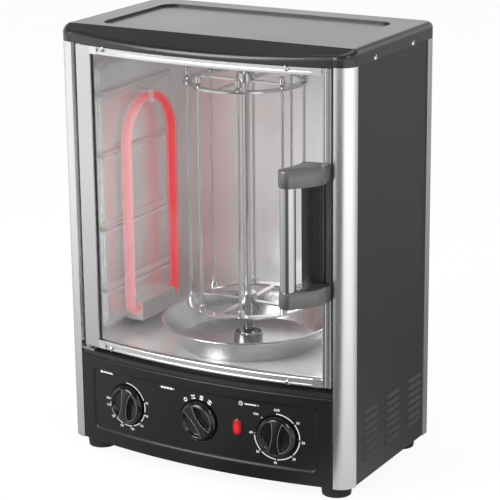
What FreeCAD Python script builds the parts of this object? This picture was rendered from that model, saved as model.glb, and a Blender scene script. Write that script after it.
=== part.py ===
import FreeCAD, Part
import math
import operator
import os
from types import SimpleNamespace

import Sketcher

# Electric skewer grill: a countertop oven with a bowed glass door on the left-hand hinge,
# a motor-driven skewer carousel, a drip dish and three dials. Millimetres, +Z up, front at -Y.
# The origin is under the middle of the whole grill, on the surface that the feet stand on.

SIZES = {
    # shell
    "body_width": 346,
    "body_depth": 200,
    "body_height": 443,
    "foot_height": 14,
    "cover_height": 17,
    "bow_depth": 17,
    "front_post_radius": 18,
    "rear_post_radius": 12,
    "rear_post_leg": 20.5,
    "post_wall": 1.2,
    "sheet": 0.8,
    "floor_rim": 11,
    # top cover
    "cover_wall": 2,
    "cover_brow": 18,
    "cover_slope": 0.31,
    "cover_round": 6,
    "recess_side": 33,
    "recess_front": 30,
    "recess_rear": 31,
    "recess_depth": 2.5,
    "recess_corner": 16,
    "recess_ledge": 5,
    "cover_rail_height": 9,
    "cover_screw_rise": 2.6,
    "cover_screw_front": 55.5,
    "cover_screw_rear": 58,
    "cover_screw_head": 3,
    "cover_screw_dome": 1.6,
    "cover_screw_shank": 1.5,
    "cover_screw_length": 5,
    # louvres in the side panels
    "vent_width": 33,
    "vent_height": 3,
    "vent_pitch_y": 52.5,
    "vent_pitch_z": 8.3,
    "vent_first_y": 35,
    "vent_first_z": 22,
    # control panel
    "panel_height": 99,
    "panel_wall": 2.5,
    "frame_side": 16,
    "frame_low": 15.5,
    "frame_height": 72.5,
    "frame_relief": 0.6,
    "sill_height": 5,
    "sill_setback": 1.5,
    "sill_depth": 12.5,
    # dials, seen from the front
    "temp_inset": 64.5,
    "temp_z": 53,
    "temp_radius": 21.5,
    "function_offset": 3.2,
    "function_z": 53.5,
    "function_radius": 21.5,
    "timer_inset": 60.5,
    "timer_z": 50.7,
    "timer_radius": 21.5,
    "dial_margin": 1.4,
    "dial_relief": 1.2,
    "knob_sink": 0.5,
    "knob_skirt": 1,
    "knob_height": 4.5,
    "knob_taper": 3,
    "knob_rim": 1,
    "knob_dish": 3,
    "grip_width": 9,
    "grip_height": 5,
    "grip_inset": 3.6,
    "dial_shaft": 3,
    "dial_shaft_grip": 3.5,
    "dial_shaft_tail": 12,
    "bush_radius": 4.6,
    "thermostat_radius": 17,
    "thermostat_depth": 16,
    "selector_radius": 18,
    "selector_depth": 22,
    "timer_can_radius": 25,
    "timer_can_depth": 30,
    # pilot lamp
    "lamp_offset": 44.5,
    "lamp_z": 54.5,
    "lamp_width": 12.5,
    "lamp_length": 19.5,
    "lamp_proud": 2.2,
    "lamp_holder_border": 2,
    "lamp_holder_depth": 14,
    # cooking chamber
    "chamber_side": 23,
    "chamber_rear": 6,
    "chamber_setback": 11.5,
    "floor_flange": 6,
    "ceiling_flange": 9,
    "press_depth": 8,
    "press_slope": 15,
    "press_front": 16,
    "press_rear": 16,
    "press_low": 3,
    "press_high": 14,
    "guide_low": 51,
    "guide_second": 121,
    "guide_third": 203,
    "guide_high": 270,
    "guide_end": 3,
    "guide_height": 5,
    "guide_depth": 3,
    # heater
    "heater_inset": 22,
    "heater_y": 5,
    "heater_span": 92,
    "heater_tube": 3.25,
    "heater_low": 22,
    "heater_drop": 65,
    "heater_bend": 12,
    "heater_box_length": 68,
    "heater_box_width": 22,
    "heater_box_low": 10,
    "heater_box_height": 21,
    "insulator_width": 10,
    "insulator_height": 14,
    "clip_width": 10,
    "clip_height": 14,
    # door
    "door_hinge_gap": 7,
    "door_latch_gap": 2.3,
    "door_lift": 0.5,
    "door_top_gap": 0.8,
    "door_depth": 8,
    "left_stile": 20,
    "right_stile": 8.7,
    "top_rail": 8,
    "bottom_rail": 8.5,
    "glass": 4,
    "glass_inset": 2.15,
    "groove_depth": 4.6,
    "rivet_inset": 37,
    "rivet_edge": 1.9,
    "rivet_head": 2.6,
    "rivet_dome": 1.2,
    "rivet_shank": 1.2,
    "rivet_length": 5,
    "hinge_inset": 3,
    "hinge_pin": 2.5,
    "hinge_engage": 12,
    "hinge_plate": 2,
    "hinge_plate_width": 16,
    "hinge_collar": 4,
    "strike_width": 18,
    "strike_height": 6,
    "strike_wall": 1,
    # handle
    "handle_stand": 50.5,
    "handle_width": 29.5,
    "handle_overlap": 0.8,
    "handle_low": 205,
    "handle_height": 142,
    "arm_height": 18,
    "arm_bulge": 62,
    "handle_wall": 4,
    "bar_inset": 2,
    "bar_radius": 8,
    "nose_wall": 1.5,
    "bar_engage": 7,
    "handle_screw": 1.4,
    "handle_screw_head": 2.4,
    "handle_screw_head_height": 1.6,
    "handle_screw_bite": 5,
    # carousel and drive
    "axis_y": -3,
    "rod_radius": 4.25,
    "cup_radius": 6.5,
    "cup_rise": 7,
    "cup_depth": 10,
    "drive_shaft": 3,
    "pin_radius": 1.5,
    "pin_length": 16.6,
    "pin_rise": 5,
    "bush_outer": 10,
    "bush_flange": 13,
    "bush_flange_wall": 1,
    "top_bush_outer": 8,
    "top_bush_drop": 8,
    "top_bush_rise": 14,
    "rod_top_drop": 1,
    "skewer_circle": 62,
    "skewer_radius": 1.75,
    "skewer_count": 8,
    "skewer_drop": 20.95,
    "skewer_tip": 8,
    "skewer_head": 3.6,
    "skewer_head_length": 12,
    "holder_ring": 5,
    "holder_wall": 2,
    "holder_rise": 44,
    "holder_hub": 10,
    "holder_hub_height": 10,
    "holder_spoke": 6,
    "socket_radius": 4.2,
    "socket_depth": 6,
    "top_holder_drop": 36,
    # motor
    "motor_radius": 24,
    "motor_height": 20,
    "motor_drop": 16,
    "motor_boss": 7,
    "motor_boss_height": 4,
    "motor_plate": 1.2,
    "motor_plate_half": 40,
    "motor_foot": 10,
    "motor_plate_depth": 44,
    "motor_screw_x": 18,
    "motor_screw": 1.6,
    "motor_screw_head": 3.4,
    "motor_screw_length": 8,
    # drip dish
    "dish_radius": 95,
    "dish_floor_radius": 76,
    "dish_height": 27,
    "dish_wall": 0.8,
    "dish_rim": 2,
    "dish_collar": 15,
    "dish_collar_height": 9,
    # feet and fasteners
    "foot_side": 26,
    "foot_end": 24,
    "foot_radius": 17,
    "foot_toe": 15.5,
    "foot_bore": 5.2,
    "foot_web": 7,
    "foot_screw": 2,
    "foot_screw_head": 4.4,
    "foot_screw_head_height": 3,
    "foot_boss": 5,
    "foot_boss_height": 6,
    "back_screw": 1.6,
    "back_screw_head": 3.5,
    "back_screw_dome": 1.8,
    "back_screw_side": 16,
    "back_screw_low": 30,
    "back_screw_high": 31,
    "back_vent_width": 60,
    "back_vent_height": 4,
    "back_vent_count": 6,
    "back_vent_pitch": 12,
    "back_vent_drop": 113,
    # mains inlet
    "gland_side": 63,
    "gland_z": 32,
    "gland_bore": 3.6,
    "gland_body": 8,
    "gland_flange": 11,
    "gland_flange_wall": 2,
    "gland_inner": 8,
    "gland_reach": 7,
    "gland_nose": 7.4,
    "terminal_width": 40,
    "terminal_depth": 16,
    "terminal_height": 18,
    # fits
    "contact_gap": 0.05,
    "running_gap": 0.05,
    "rod_gap": 0.1,
    "rest_gap": 0.3,
}

X_AXIS = FreeCAD.Vector(1, 0, 0)
Y_AXIS = FreeCAD.Vector(0, 1, 0)
Z_AXIS = FreeCAD.Vector(0, 0, 1)
CUT_MARGIN = 1.0


class Size:
    """A length that knows its number and the spreadsheet formula it comes from."""

    def __init__(self, number, text):
        self.number = number
        self.text = text

    def __float__(self):
        return float(self.number)

    def __neg__(self):
        return Size(-self.number, f"(-{self.text})")

    def __add__(self, other):
        return combine(operator.add, "+", self, other)

    def __radd__(self, other):
        return combine(operator.add, "+", other, self)

    def __sub__(self, other):
        return combine(operator.sub, "-", self, other)

    def __rsub__(self, other):
        return combine(operator.sub, "-", other, self)

    def __mul__(self, other):
        return combine(operator.mul, "*", self, other)

    def __rmul__(self, other):
        return combine(operator.mul, "*", other, self)

    def __truediv__(self, other):
        return combine(operator.truediv, "/", self, other)

    def __pow__(self, other):
        return combine(operator.pow, "^", self, other)


def formula(size):
    """The expression text of a size or of a plain number."""
    if isinstance(size, Size):
        return size.text
    return f"({size:.9g})"


def combine(action, sign, left, right):
    number = action(float(left), float(right))
    return Size(number, f"({formula(left)} {sign} {formula(right)})")


def root(size):
    return Size(math.sqrt(float(size)), f"sqrt({formula(size)})")


def vector(x, y, z=0):
    return FreeCAD.Vector(float(x), float(y), float(z))


# ---------------------------------------------------------------- document and sheet

doc = FreeCAD.newDocument("skewer_grill")
sheet = doc.addObject("Spreadsheet::Sheet", "Sizes")
for row, (alias, number) in enumerate(SIZES.items(), start=1):
    sheet.set(f"A{row}", alias)
    sheet.set(f"B{row}", str(number))
    sheet.setAlias(f"B{row}", alias)
doc.recompute()
s = SimpleNamespace(**{alias: Size(number, f"Sizes.{alias}") for alias, number in SIZES.items()})
nodes = []
shell_screws = []
door_screws = []

# ---------------------------------------------------------------- places worked out from the sizes

half_width = s.body_width / 2
front_reach = s.body_depth / 2 + s.handle_stand
rear_reach = s.body_depth / 2 + s.gland_reach
mid_y = (front_reach - rear_reach) / 2
front_y = mid_y - s.body_depth / 2
rear_y = mid_y + s.body_depth / 2
bottom_z = s.foot_height
panel_top_z = bottom_z + s.panel_height
sill_top_z = panel_top_z + s.sill_height
seat_z = bottom_z + s.body_height
top_z = seat_z + s.cover_height
floor_z = sill_top_z + s.floor_flange
ceiling_z = seat_z - s.ceiling_flange
front_post_y = front_y + s.front_post_radius
rear_post_y = rear_y - s.rear_post_radius
bow_half = half_width - s.front_post_radius
bow_radius = (bow_half ** 2 + s.bow_depth ** 2) / (2 * s.bow_depth)
bow_y = front_y - s.bow_depth + bow_radius
panel_face = half_width - s.post_wall
base_half = panel_face - s.sheet
back_panel_y = rear_y - s.post_wall
base_rear_y = back_panel_y - s.sheet
chamber_back_y = rear_y - s.chamber_rear
chamber_half = half_width - s.chamber_side
wall_half = chamber_half + s.sheet
axis_y = mid_y + s.axis_y
foot_x = half_width - s.foot_side
foot_y = s.body_depth / 2 - s.foot_end
gland_x = s.gland_side - half_width
timer_x = bow_half - s.timer_inset


def bow(x, inset=0):
    """The y of the bowed front at a distance x from the middle and an inset behind its face."""
    return bow_y - root((bow_radius - inset) ** 2 - x ** 2)


def bow_drop(radius):
    """How far the back of the fascia falls away from a flat disc of that radius."""
    back_radius = bow_radius - s.panel_wall
    return back_radius - root(back_radius ** 2 - radius ** 2)


# ---------------------------------------------------------------- modelling helpers

def bind(item, **sizes):
    for name, size in sizes.items():
        item.setExpression(name, formula(size))


def move(item, x=0, y=0, z=0, rotation=None):
    """Place an object at sizes from the sheet, turned by a fixed rotation."""
    item.Placement = FreeCAD.Placement(vector(0, 0, 0), rotation or FreeCAD.Rotation())
    for axis, size in zip("xyz", (x, y, z)):
        item.setExpression(f"Placement.Base.{axis}", formula(size))
    return item


def keep(item, name):
    """Give a finished sub-part its name and put it on the list that is written out."""
    item.Label = name
    nodes.append(item)
    return item


def block(name, x, y, z):
    """A box between (low, high) pairs of sizes."""
    item = doc.addObject("Part::Box", name)
    bind(item, Length=x[1] - x[0], Width=y[1] - y[0], Height=z[1] - z[0])
    return move(item, x[0], y[0], z[0])


def rod(name, x, y, z, radius, length, along="z"):
    """A cylinder that starts at a point and runs towards +X, +Y or +Z."""
    turns = {"z": FreeCAD.Rotation(), "x": FreeCAD.Rotation(Y_AXIS, 90), "y": FreeCAD.Rotation(X_AXIS, -90)}
    item = doc.addObject("Part::Cylinder", name)
    bind(item, Radius=radius, Height=length)
    return move(item, x, y, z, turns[along])


def fuse(name, items):
    item = doc.addObject("Part::MultiFuse", name)
    item.Shapes = items
    return item


def cut(name, base, tools):
    item = doc.addObject("Part::Cut", name)
    item.Base = base
    item.Tool = tools[0] if len(tools) == 1 else fuse(f"{name}_cutters", tools)
    return item


def group(name, items):
    """Separate solids that share one node."""
    item = doc.addObject("Part::Compound", name)
    item.Links = items
    return item


def new_body(name):
    return doc.addObject("PartDesign::Body", name)


def new_sketch(body, plane, offset=0):
    """A sketch on one of the body's own origin planes, moved along the plane's normal."""
    sketch = body.newObject("Sketcher::SketchObject", f"{body.Name}_sketch")
    role = f"{plane}_Plane"
    origin_plane = [item for item in body.Origin.OriginFeatures if item.Role == role][0]
    sketch.AttachmentSupport = (origin_plane, [""])
    sketch.MapMode = "FlatFace"
    sketch.setExpression("AttachmentOffset.Base.z", formula(offset))
    return sketch


def hold_point(sketch, edge, point, x, y):
    for kind, size, axis in (("DistanceX", x, -2), ("DistanceY", y, -1)):
        if abs(float(size)) < 1e-9:
            sketch.addConstraint(Sketcher.Constraint("PointOnObject", edge, point, axis))
        else:
            index = sketch.addConstraint(Sketcher.Constraint(kind, -1, 1, edge, point, float(size)))
            sketch.setExpression(f"Constraints[{index}]", formula(size))


def hold_radius(sketch, edge, radius):
    index = sketch.addConstraint(Sketcher.Constraint("Radius", edge, float(radius)))
    sketch.setExpression(f"Constraints[{index}]", formula(radius))


def is_half_round(start, end):
    chord = vector(end[0], end[1]) - vector(start[0], start[1])
    return abs(chord.Length - 2 * float(start[2])) < 1e-6


def hold_middle(sketch, edge, start, end):
    """Keep a half-round's centre level with its two ends."""
    upright = abs(float(end[0] - start[0])) < abs(float(end[1] - start[1]))
    kind, size, axis = ("DistanceX", start[0], -2) if upright else ("DistanceY", start[1], -1)
    if abs(float(size)) < 1e-9:
        sketch.addConstraint(Sketcher.Constraint("PointOnObject", edge, 3, axis))
    else:
        index = sketch.addConstraint(Sketcher.Constraint(kind, -1, 1, edge, 3, float(size)))
        sketch.setExpression(f"Constraints[{index}]", formula(size))


def arc_between(start, end, radius, side):
    """An arc between two points, with its centre left (+1) or right (-1) of the way along it."""
    chord = end - start
    rise = math.sqrt(max(float(radius) ** 2 - (chord.Length / 2) ** 2, 0))
    left = FreeCAD.Vector(-chord.y, chord.x, 0).normalize()
    centre = (start + end) / 2 + left * (rise * side)
    first, last = (start, end) if side > 0 else (end, start)
    angle_first = math.atan2(first.y - centre.y, first.x - centre.x)
    angle_last = math.atan2(last.y - centre.y, last.x - centre.x)
    if angle_last <= angle_first:
        angle_last += 2 * math.pi
    return Part.ArcOfCircle(Part.Circle(centre, Z_AXIS, float(radius)), angle_first, angle_last)


def draw(sketch, corners, closed=True):
    """Draw an outline. A corner is (x, y), or (x, y, radius, side) where an arc leaves it."""
    first_edge = sketch.GeometryCount
    count = len(corners) if closed else len(corners) - 1
    ends = []
    for index in range(count):
        corner = corners[index]
        following = corners[(index + 1) % len(corners)]
        start = vector(corner[0], corner[1])
        end = vector(following[0], following[1])
        if len(corner) == 2:
            sketch.addGeometry(Part.LineSegment(start, end), False)
            ends.append((1, 2))
        else:
            sketch.addGeometry(arc_between(start, end, corner[2], corner[3]), False)
            ends.append((1, 2) if corner[3] > 0 else (2, 1))
    links = count if closed else count - 1
    for index in range(links):
        other = (index + 1) % count
        sketch.addConstraint(Sketcher.Constraint("Coincident", first_edge + index, ends[index][1],
                                                 first_edge + other, ends[other][0]))
    for index in range(count):
        edge = first_edge + index
        start = corners[index]
        end = corners[(index + 1) % len(corners)]
        hold_point(sketch, edge, ends[index][0], start[0], start[1])
        if len(start) > 2 and is_half_round(start, end):
            hold_middle(sketch, edge, start, end)
        elif len(start) > 2:
            hold_radius(sketch, edge, start[2])
    if not closed:
        hold_point(sketch, first_edge + count - 1, ends[-1][1], corners[-1][0], corners[-1][1])


def draw_circle(sketch, x, y, radius):
    edge = sketch.GeometryCount
    sketch.addGeometry(Part.Circle(vector(x, y), Z_AXIS, float(radius)), False)
    hold_point(sketch, edge, 3, x, y)
    hold_radius(sketch, edge, radius)


def pad(body, sketch, length):
    feature = body.newObject("PartDesign::Pad", f"{body.Name}_pad")
    feature.Profile = sketch
    bind(feature, Length=length)
    return feature


def extrude(name, corners, bottom, height, plane="XY"):
    """A body with one padded outline."""
    body = new_body(name)
    sketch = new_sketch(body, plane, bottom)
    draw(sketch, corners)
    pad(body, sketch, height)
    return body


def turn(name, profile):
    """A body turned about its own Z axis from (radius, z) points."""
    body = new_body(name)
    sketch = new_sketch(body, "XZ")
    draw(sketch, profile)
    feature = body.newObject("PartDesign::Revolution", f"{name}_turned")
    feature.Profile = sketch
    feature.ReferenceAxis = (sketch, ["V_Axis"])
    feature.Angle = 360
    return body


def face_normal(item, x, z):
    """Seat a part on the bowed face, with its own Z pointing straight out of the face."""
    lean = math.degrees(math.asin(float(x) / float(bow_radius)))
    facing = FreeCAD.Rotation(Z_AXIS, lean).multiply(FreeCAD.Rotation(X_AXIS, 90))
    return move(item, x, bow(x), z, facing)


def bowed_outline(left, right, inset_front, inset_rear):
    return [
        (left, bow(left, inset_front), bow_radius - inset_front, 1),
        (right, bow(right, inset_front)),
        (right, bow(right, inset_rear), bow_radius - inset_rear, -1),
        (left, bow(left, inset_rear)),
    ]


def bowed_plate(name, left, right, inset_front, inset_rear, bottom, height):
    """A plate that follows the bowed front between two distances behind its face."""
    return extrude(name, bowed_outline(left, right, inset_front, inset_rear), bottom, height)


def bow_fronted(half, inset, rear):
    """The plan of a sheet with a bowed front edge and a straight back."""
    return [
        (-half, bow(half, inset), bow_radius - inset, 1),
        (half, bow(half, inset)),
        (half, rear),
        (-half, rear),
    ]


def capsule(width, length):
    """An upright slot with round ends, about its own middle."""
    radius = width / 2
    straight = length / 2 - radius
    return [
        (-radius, -straight, radius, 1),
        (radius, -straight),
        (radius, straight, radius, 1),
        (-radius, straight),
    ]


def mirrored(x):
    """The same distance on the left and on the right."""
    return (("left", -x, -1), ("right", x, 1))


# ---------------------------------------------------------------- shell

def make_front_posts():
    """Quarter-round hollow extrusions at the front corners."""
    for side, _, sign in mirrored(half_width):
        inner = s.front_post_radius - s.post_wall
        body = new_body(f"front_post_{side}")
        sketch = new_sketch(body, "XY", bottom_z)
        draw(sketch, [
            (sign * bow_half, front_y, s.front_post_radius, sign),
            (sign * half_width, front_post_y),
            (sign * bow_half, front_post_y),
        ])
        draw(sketch, [
            (sign * (bow_half + s.post_wall), front_post_y - inner, inner - s.post_wall, sign),
            (sign * (bow_half + inner), front_post_y - s.post_wall),
            (sign * (bow_half + s.post_wall), front_post_y - s.post_wall),
        ])
        pad(body, sketch, s.body_height)
        keep(body, f"front_post_{side}")


def make_rear_posts():
    """Rounded corner angles at the back, outside the side and back panels."""
    inner = s.rear_post_radius - s.post_wall
    holes = back_screw_points()
    for side, _, sign in mirrored(half_width):
        angle = extrude(f"rear_post_{side}_angle", [
            (sign * half_width, rear_y - s.rear_post_leg),
            (sign * half_width, rear_post_y, s.rear_post_radius, sign),
            (sign * (half_width - s.rear_post_radius), rear_y),
            (sign * (half_width - s.rear_post_leg), rear_y),
            (sign * (half_width - s.rear_post_leg), back_panel_y),
            (sign * (half_width - s.rear_post_radius), back_panel_y, inner, -sign),
            (sign * panel_face, rear_post_y),
            (sign * panel_face, rear_y - s.rear_post_leg),
        ], bottom_z, s.body_height)
        drills = [
            rod("post_drill", x, back_panel_y - CUT_MARGIN, z, s.back_screw + s.contact_gap,
                s.post_wall + 2 * CUT_MARGIN, "y")
            for x, z in holes if x.number * sign > 0
        ]
        keep(cut(f"rear_post_{side}", angle, drills), f"rear_post_{side}")


def back_screw_points():
    """Places of the six screws that hold the back panel to the rear posts."""
    points = []
    for _, x, _ in mirrored(half_width - s.back_screw_side):
        for step in range(3):
            rise = (s.body_height - s.back_screw_low - s.back_screw_high) / 2 * step
            points.append((x, bottom_z + s.back_screw_low + rise))
    return points


def make_side_panels():
    """Sheet steel sides with three columns of louvre slots each."""
    for side, _, sign in mirrored(half_width):
        inner, outer = sorted((sign * panel_face, sign * base_half), key=float)
        sheet_side = block(f"side_{side}_sheet", (inner, outer), (front_post_y, rear_post_y),
                           (bottom_z, seat_z))
        slots = []
        for column in range(3):
            for step in range(7):
                low_y = front_y + s.vent_first_y + s.vent_pitch_y * column
                low_z = bottom_z + s.vent_first_z + s.vent_pitch_z * step
                slots.append(block("louvre_slot", (inner - CUT_MARGIN, outer + CUT_MARGIN),
                                   (low_y, low_y + s.vent_width), (low_z, low_z + s.vent_height)))
        keep(cut(f"side_panel_{side}", sheet_side, slots), f"side_panel_{side}")


def make_back_panel():
    """Sheet steel back with a block of slots behind the motor's air path and the mains inlet hole."""
    half = half_width - s.rear_post_radius
    plate = block("back_sheet", (-half, half), (base_rear_y, back_panel_y), (bottom_z, seat_z))
    drills = []
    for step in range(SIZES["back_vent_count"]):
        low_z = seat_z - s.back_vent_drop + s.back_vent_pitch * step
        for _, x, _ in mirrored(s.back_vent_width):
            low_x = x - s.back_vent_width / 2
            drills.append(block("back_slot", (low_x, low_x + s.back_vent_width),
                                (base_rear_y - CUT_MARGIN, back_panel_y + CUT_MARGIN),
                                (low_z, low_z + s.back_vent_height)))
    for x, z in back_screw_points():
        drills.append(rod("back_drill", x, base_rear_y - CUT_MARGIN, z, s.back_screw + s.contact_gap,
                          s.sheet + 2 * CUT_MARGIN, "y"))
    drills.append(rod("inlet_drill", gland_x, base_rear_y - CUT_MARGIN, bottom_z + s.gland_z,
                      s.gland_body + s.contact_gap, s.sheet + 2 * CUT_MARGIN, "y"))
    keep(cut("back_panel", plate, drills), "back_panel")


def base_outline(inset):
    side = base_half - inset
    rear = base_rear_y - inset
    front_half = bow_half - s.contact_gap - inset
    notch_y = front_post_y + s.contact_gap + inset
    front_inset = s.panel_wall + s.contact_gap + inset
    return [
        (-front_half, bow(front_half, front_inset), bow_radius - front_inset, 1),
        (front_half, bow(front_half, front_inset)),
        (front_half, notch_y),
        (side, notch_y),
        (side, rear_post_y),
        (half_width - s.rear_post_radius, rear),
        (-(half_width - s.rear_post_radius), rear),
        (-side, rear_post_y),
        (-side, notch_y),
        (-front_half, notch_y),
    ]


def foot_points():
    return [(x, mid_y + y) for _, x, _ in mirrored(foot_x) for _, y, _ in mirrored(foot_y)]


def make_base_pan():
    """Bottom tray with an upturned rim and a threaded boss over each foot."""
    tray = extrude("base_outer", base_outline(0), bottom_z, s.floor_rim)
    hollow = extrude("base_hollow", base_outline(s.sheet), bottom_z + s.sheet, s.floor_rim)
    shell = cut("base_shell", tray, [hollow])
    bosses = [
        rod("foot_boss", x, y, bottom_z + s.sheet / 2, s.foot_boss, s.foot_boss_height) for x, y in foot_points()
    ]
    drills = [
        rod("foot_drill", x, y, bottom_z - CUT_MARGIN, s.foot_screw + s.contact_gap,
            s.foot_boss_height + 3 * CUT_MARGIN)
        for x, y in foot_points()
    ]
    keep(cut("base_pan", fuse("base_with_bosses", [shell] + bosses), drills), "base_pan")


def make_feet():
    """Rubber feet and the screws that hold them."""
    feet = []
    for x, y in foot_points():
        foot = turn("foot", [
            (s.foot_bore, 0),
            (s.foot_toe, 0),
            (s.foot_radius, s.foot_height),
            (s.foot_screw + s.contact_gap, s.foot_height),
            (s.foot_screw + s.contact_gap, s.foot_web),
            (s.foot_bore, s.foot_web),
        ])
        feet.append(move(foot, x, y, 0))
        head_z = s.foot_web - s.foot_screw_head_height
        screw = turn("foot_screw", [
            (0, head_z),
            (s.foot_screw_head, head_z),
            (s.foot_screw_head, s.foot_web),
            (s.foot_screw, s.foot_web),
            (s.foot_screw, bottom_z + s.foot_boss_height),
            (0, bottom_z + s.foot_boss_height),
        ])
        shell_screws.append(move(screw, x, y, 0))
    keep(group("feet", feet), "feet")


def cover_outline(inset):
    """Plan of the cover: bowed front, quarter-round front corners, small round rear corners."""
    front = s.front_post_radius - inset
    rear = s.rear_post_radius - inset
    side = half_width - inset
    rear_half = half_width - s.rear_post_radius
    return [
        (-bow_half, bow(bow_half, inset), bow_radius - inset, 1),
        (bow_half, bow(bow_half, inset), front, 1),
        (side, front_post_y),
        (side, rear_post_y, rear, 1),
        (rear_half, rear_y - inset),
        (-rear_half, rear_y - inset, rear, 1),
        (-side, rear_post_y),
        (-side, front_post_y, front, 1),
    ]


def cover_form(name, inset, bottom, top):
    """The cover's outside or inside: a bowed plan whose front brow slopes down."""
    form = extrude(name, cover_outline(inset), bottom, top - bottom)
    brow_y = front_y + s.cover_brow
    reach = s.cover_brow + s.bow_depth + CUT_MARGIN
    wedge = extrude(f"{name}_brow", [
        (brow_y, top),
        (brow_y - reach, top - s.cover_slope * reach),
        (brow_y - reach, top + CUT_MARGIN),
        (brow_y, top + CUT_MARGIN),
    ], -half_width - CUT_MARGIN, s.body_width + 2 * CUT_MARGIN, "YZ")
    return cut(f"{name}_sloped", form, [wedge])


def rounded_edges(shape):
    """Numbers of the cover's upper edges, without the line where the brow begins to slope."""
    brow_y = float(front_y + s.cover_brow)
    numbers = []
    for index, edge in enumerate(shape.Edges, start=1):
        box = edge.BoundBox
        is_brow_line = box.YMax < brow_y + 0.01 and box.ZMin > float(top_z) - 0.01
        if box.ZMin > float(seat_z) + 1 and not is_brow_line:
            numbers.append(index)
    return numbers


def recess_outline(inset=0):
    side = half_width - s.recess_side - inset
    front = front_y + s.recess_front + inset
    rear = rear_y - s.recess_rear - inset
    corner = s.recess_corner - inset
    return [
        (-side + corner, front),
        (side - corner, front, corner, 1),
        (side, front + corner),
        (side, rear - corner, corner, 1),
        (side - corner, rear),
        (-side + corner, rear, corner, 1),
        (-side, rear - corner),
        (-side, front + corner, corner, 1),
    ]


def cover_screw_points():
    return [
        (x, sign, front_y + offset)
        for _, x, sign in mirrored(half_width)
        for offset in (s.cover_screw_front, s.body_depth - s.cover_screw_rear)
    ]


def make_top_cover():
    """Hollow cover with rounded upper edges and a stepped window, and the sunk plate that rests in it."""
    outside = cover_form("cover_outside", 0, seat_z, top_z)
    doc.recompute()
    rounded = doc.addObject("Part::Fillet", "cover_rounded")
    rounded.Base = outside
    radius = float(s.cover_round)
    rounded.Edges = [(index, radius, radius) for index in rounded_edges(outside.Shape)]
    floor = top_z - s.recess_depth - s.cover_wall
    inside = cover_form("cover_inside", s.cover_wall, seat_z - CUT_MARGIN, floor)
    plate_z = top_z - s.recess_depth - s.sheet
    recess = extrude("cover_recess", recess_outline(), plate_z, top_z - plate_z + CUT_MARGIN)
    window = extrude("cover_window", recess_outline(s.recess_ledge), floor - CUT_MARGIN, top_z - floor)
    drills = [
        rod("cover_drill", x - (s.cover_wall + CUT_MARGIN) * (sign + 1) / 2 - CUT_MARGIN * (1 - sign) / 2, y,
            seat_z + s.cover_screw_rise, s.cover_screw_shank + s.contact_gap, s.cover_wall + 2 * CUT_MARGIN, "x")
        for x, sign, y in cover_screw_points()
    ]
    keep(cut("top_cover", rounded, [inside, recess, window] + drills), "top_cover")
    keep(extrude("top_plate", recess_outline(s.contact_gap), plate_z, s.sheet), "top_plate")


def make_cover_rails():
    """Angles inside the cover that its side screws bite into, seated on the chamber ceiling."""
    outer = half_width - s.cover_wall
    rails = []
    rail_front = front_y + s.cover_screw_front - 2 * s.cover_rail_height
    rail_rear = rear_y - s.cover_screw_rear + 2 * s.cover_rail_height
    for side, _, sign in mirrored(outer):
        inner = chamber_half
        angle = extrude(f"cover_rail_{side}_angle", [
            (sign * inner, seat_z),
            (sign * outer, seat_z),
            (sign * outer, seat_z + s.cover_rail_height),
            (sign * (outer - s.sheet), seat_z + s.cover_rail_height),
            (sign * (outer - s.sheet), seat_z + s.sheet),
            (sign * inner, seat_z + s.sheet),
        ], -rail_rear, rail_rear - rail_front, "XZ")
        drills = [
            rod("rail_drill", sign * outer - (s.sheet + 2 * CUT_MARGIN) / 2, y, seat_z + s.cover_screw_rise,
                s.cover_screw_shank + s.contact_gap, s.sheet + 2 * CUT_MARGIN, "x")
            for x, other, y in cover_screw_points() if other == sign
        ]
        rails.append(cut(f"cover_rail_{side}", angle, drills))
    for x, sign, y in cover_screw_points():
        head = s.cover_screw_head
        screw = turn("cover_screw", [
            (0, -s.cover_screw_length),
            (s.cover_screw_shank, -s.cover_screw_length),
            (s.cover_screw_shank, 0),
            (head, 0),
            (head, s.cover_screw_dome / 4),
            (head / 2, s.cover_screw_dome),
            (0, s.cover_screw_dome),
        ])
        turned = FreeCAD.Rotation(Y_AXIS, 90 * sign)
        shell_screws.append(move(screw, x, y, seat_z + s.cover_screw_rise, turned))
    keep(group("cover_rails", rails), "cover_rails")


# ---------------------------------------------------------------- control panel and dials

def dial_places():
    """Name, place and outer radius of the three dials."""
    return [
        ("temperature", s.temp_inset - bow_half, bottom_z + s.temp_z, s.temp_radius, s.thermostat_radius, s.thermostat_depth),
        ("function", s.function_offset, bottom_z + s.function_z, s.function_radius, s.selector_radius,
         s.selector_depth),
        ("timer", timer_x, bottom_z + s.timer_z, s.timer_radius, s.timer_can_radius, s.timer_can_depth),
    ]


def face_rod(name, x, z, radius, low, length):
    """A cylinder square to the bowed face, from a height above the face outwards."""
    item = turn(name, [(0, low), (radius, low), (radius, low + length), (0, low + length)])
    return face_normal(item, x, z)


def face_capsule(name, x, z, width, length, low, height):
    item = extrude(name, capsule(width, length), low, height)
    return face_normal(item, x, z)


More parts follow.
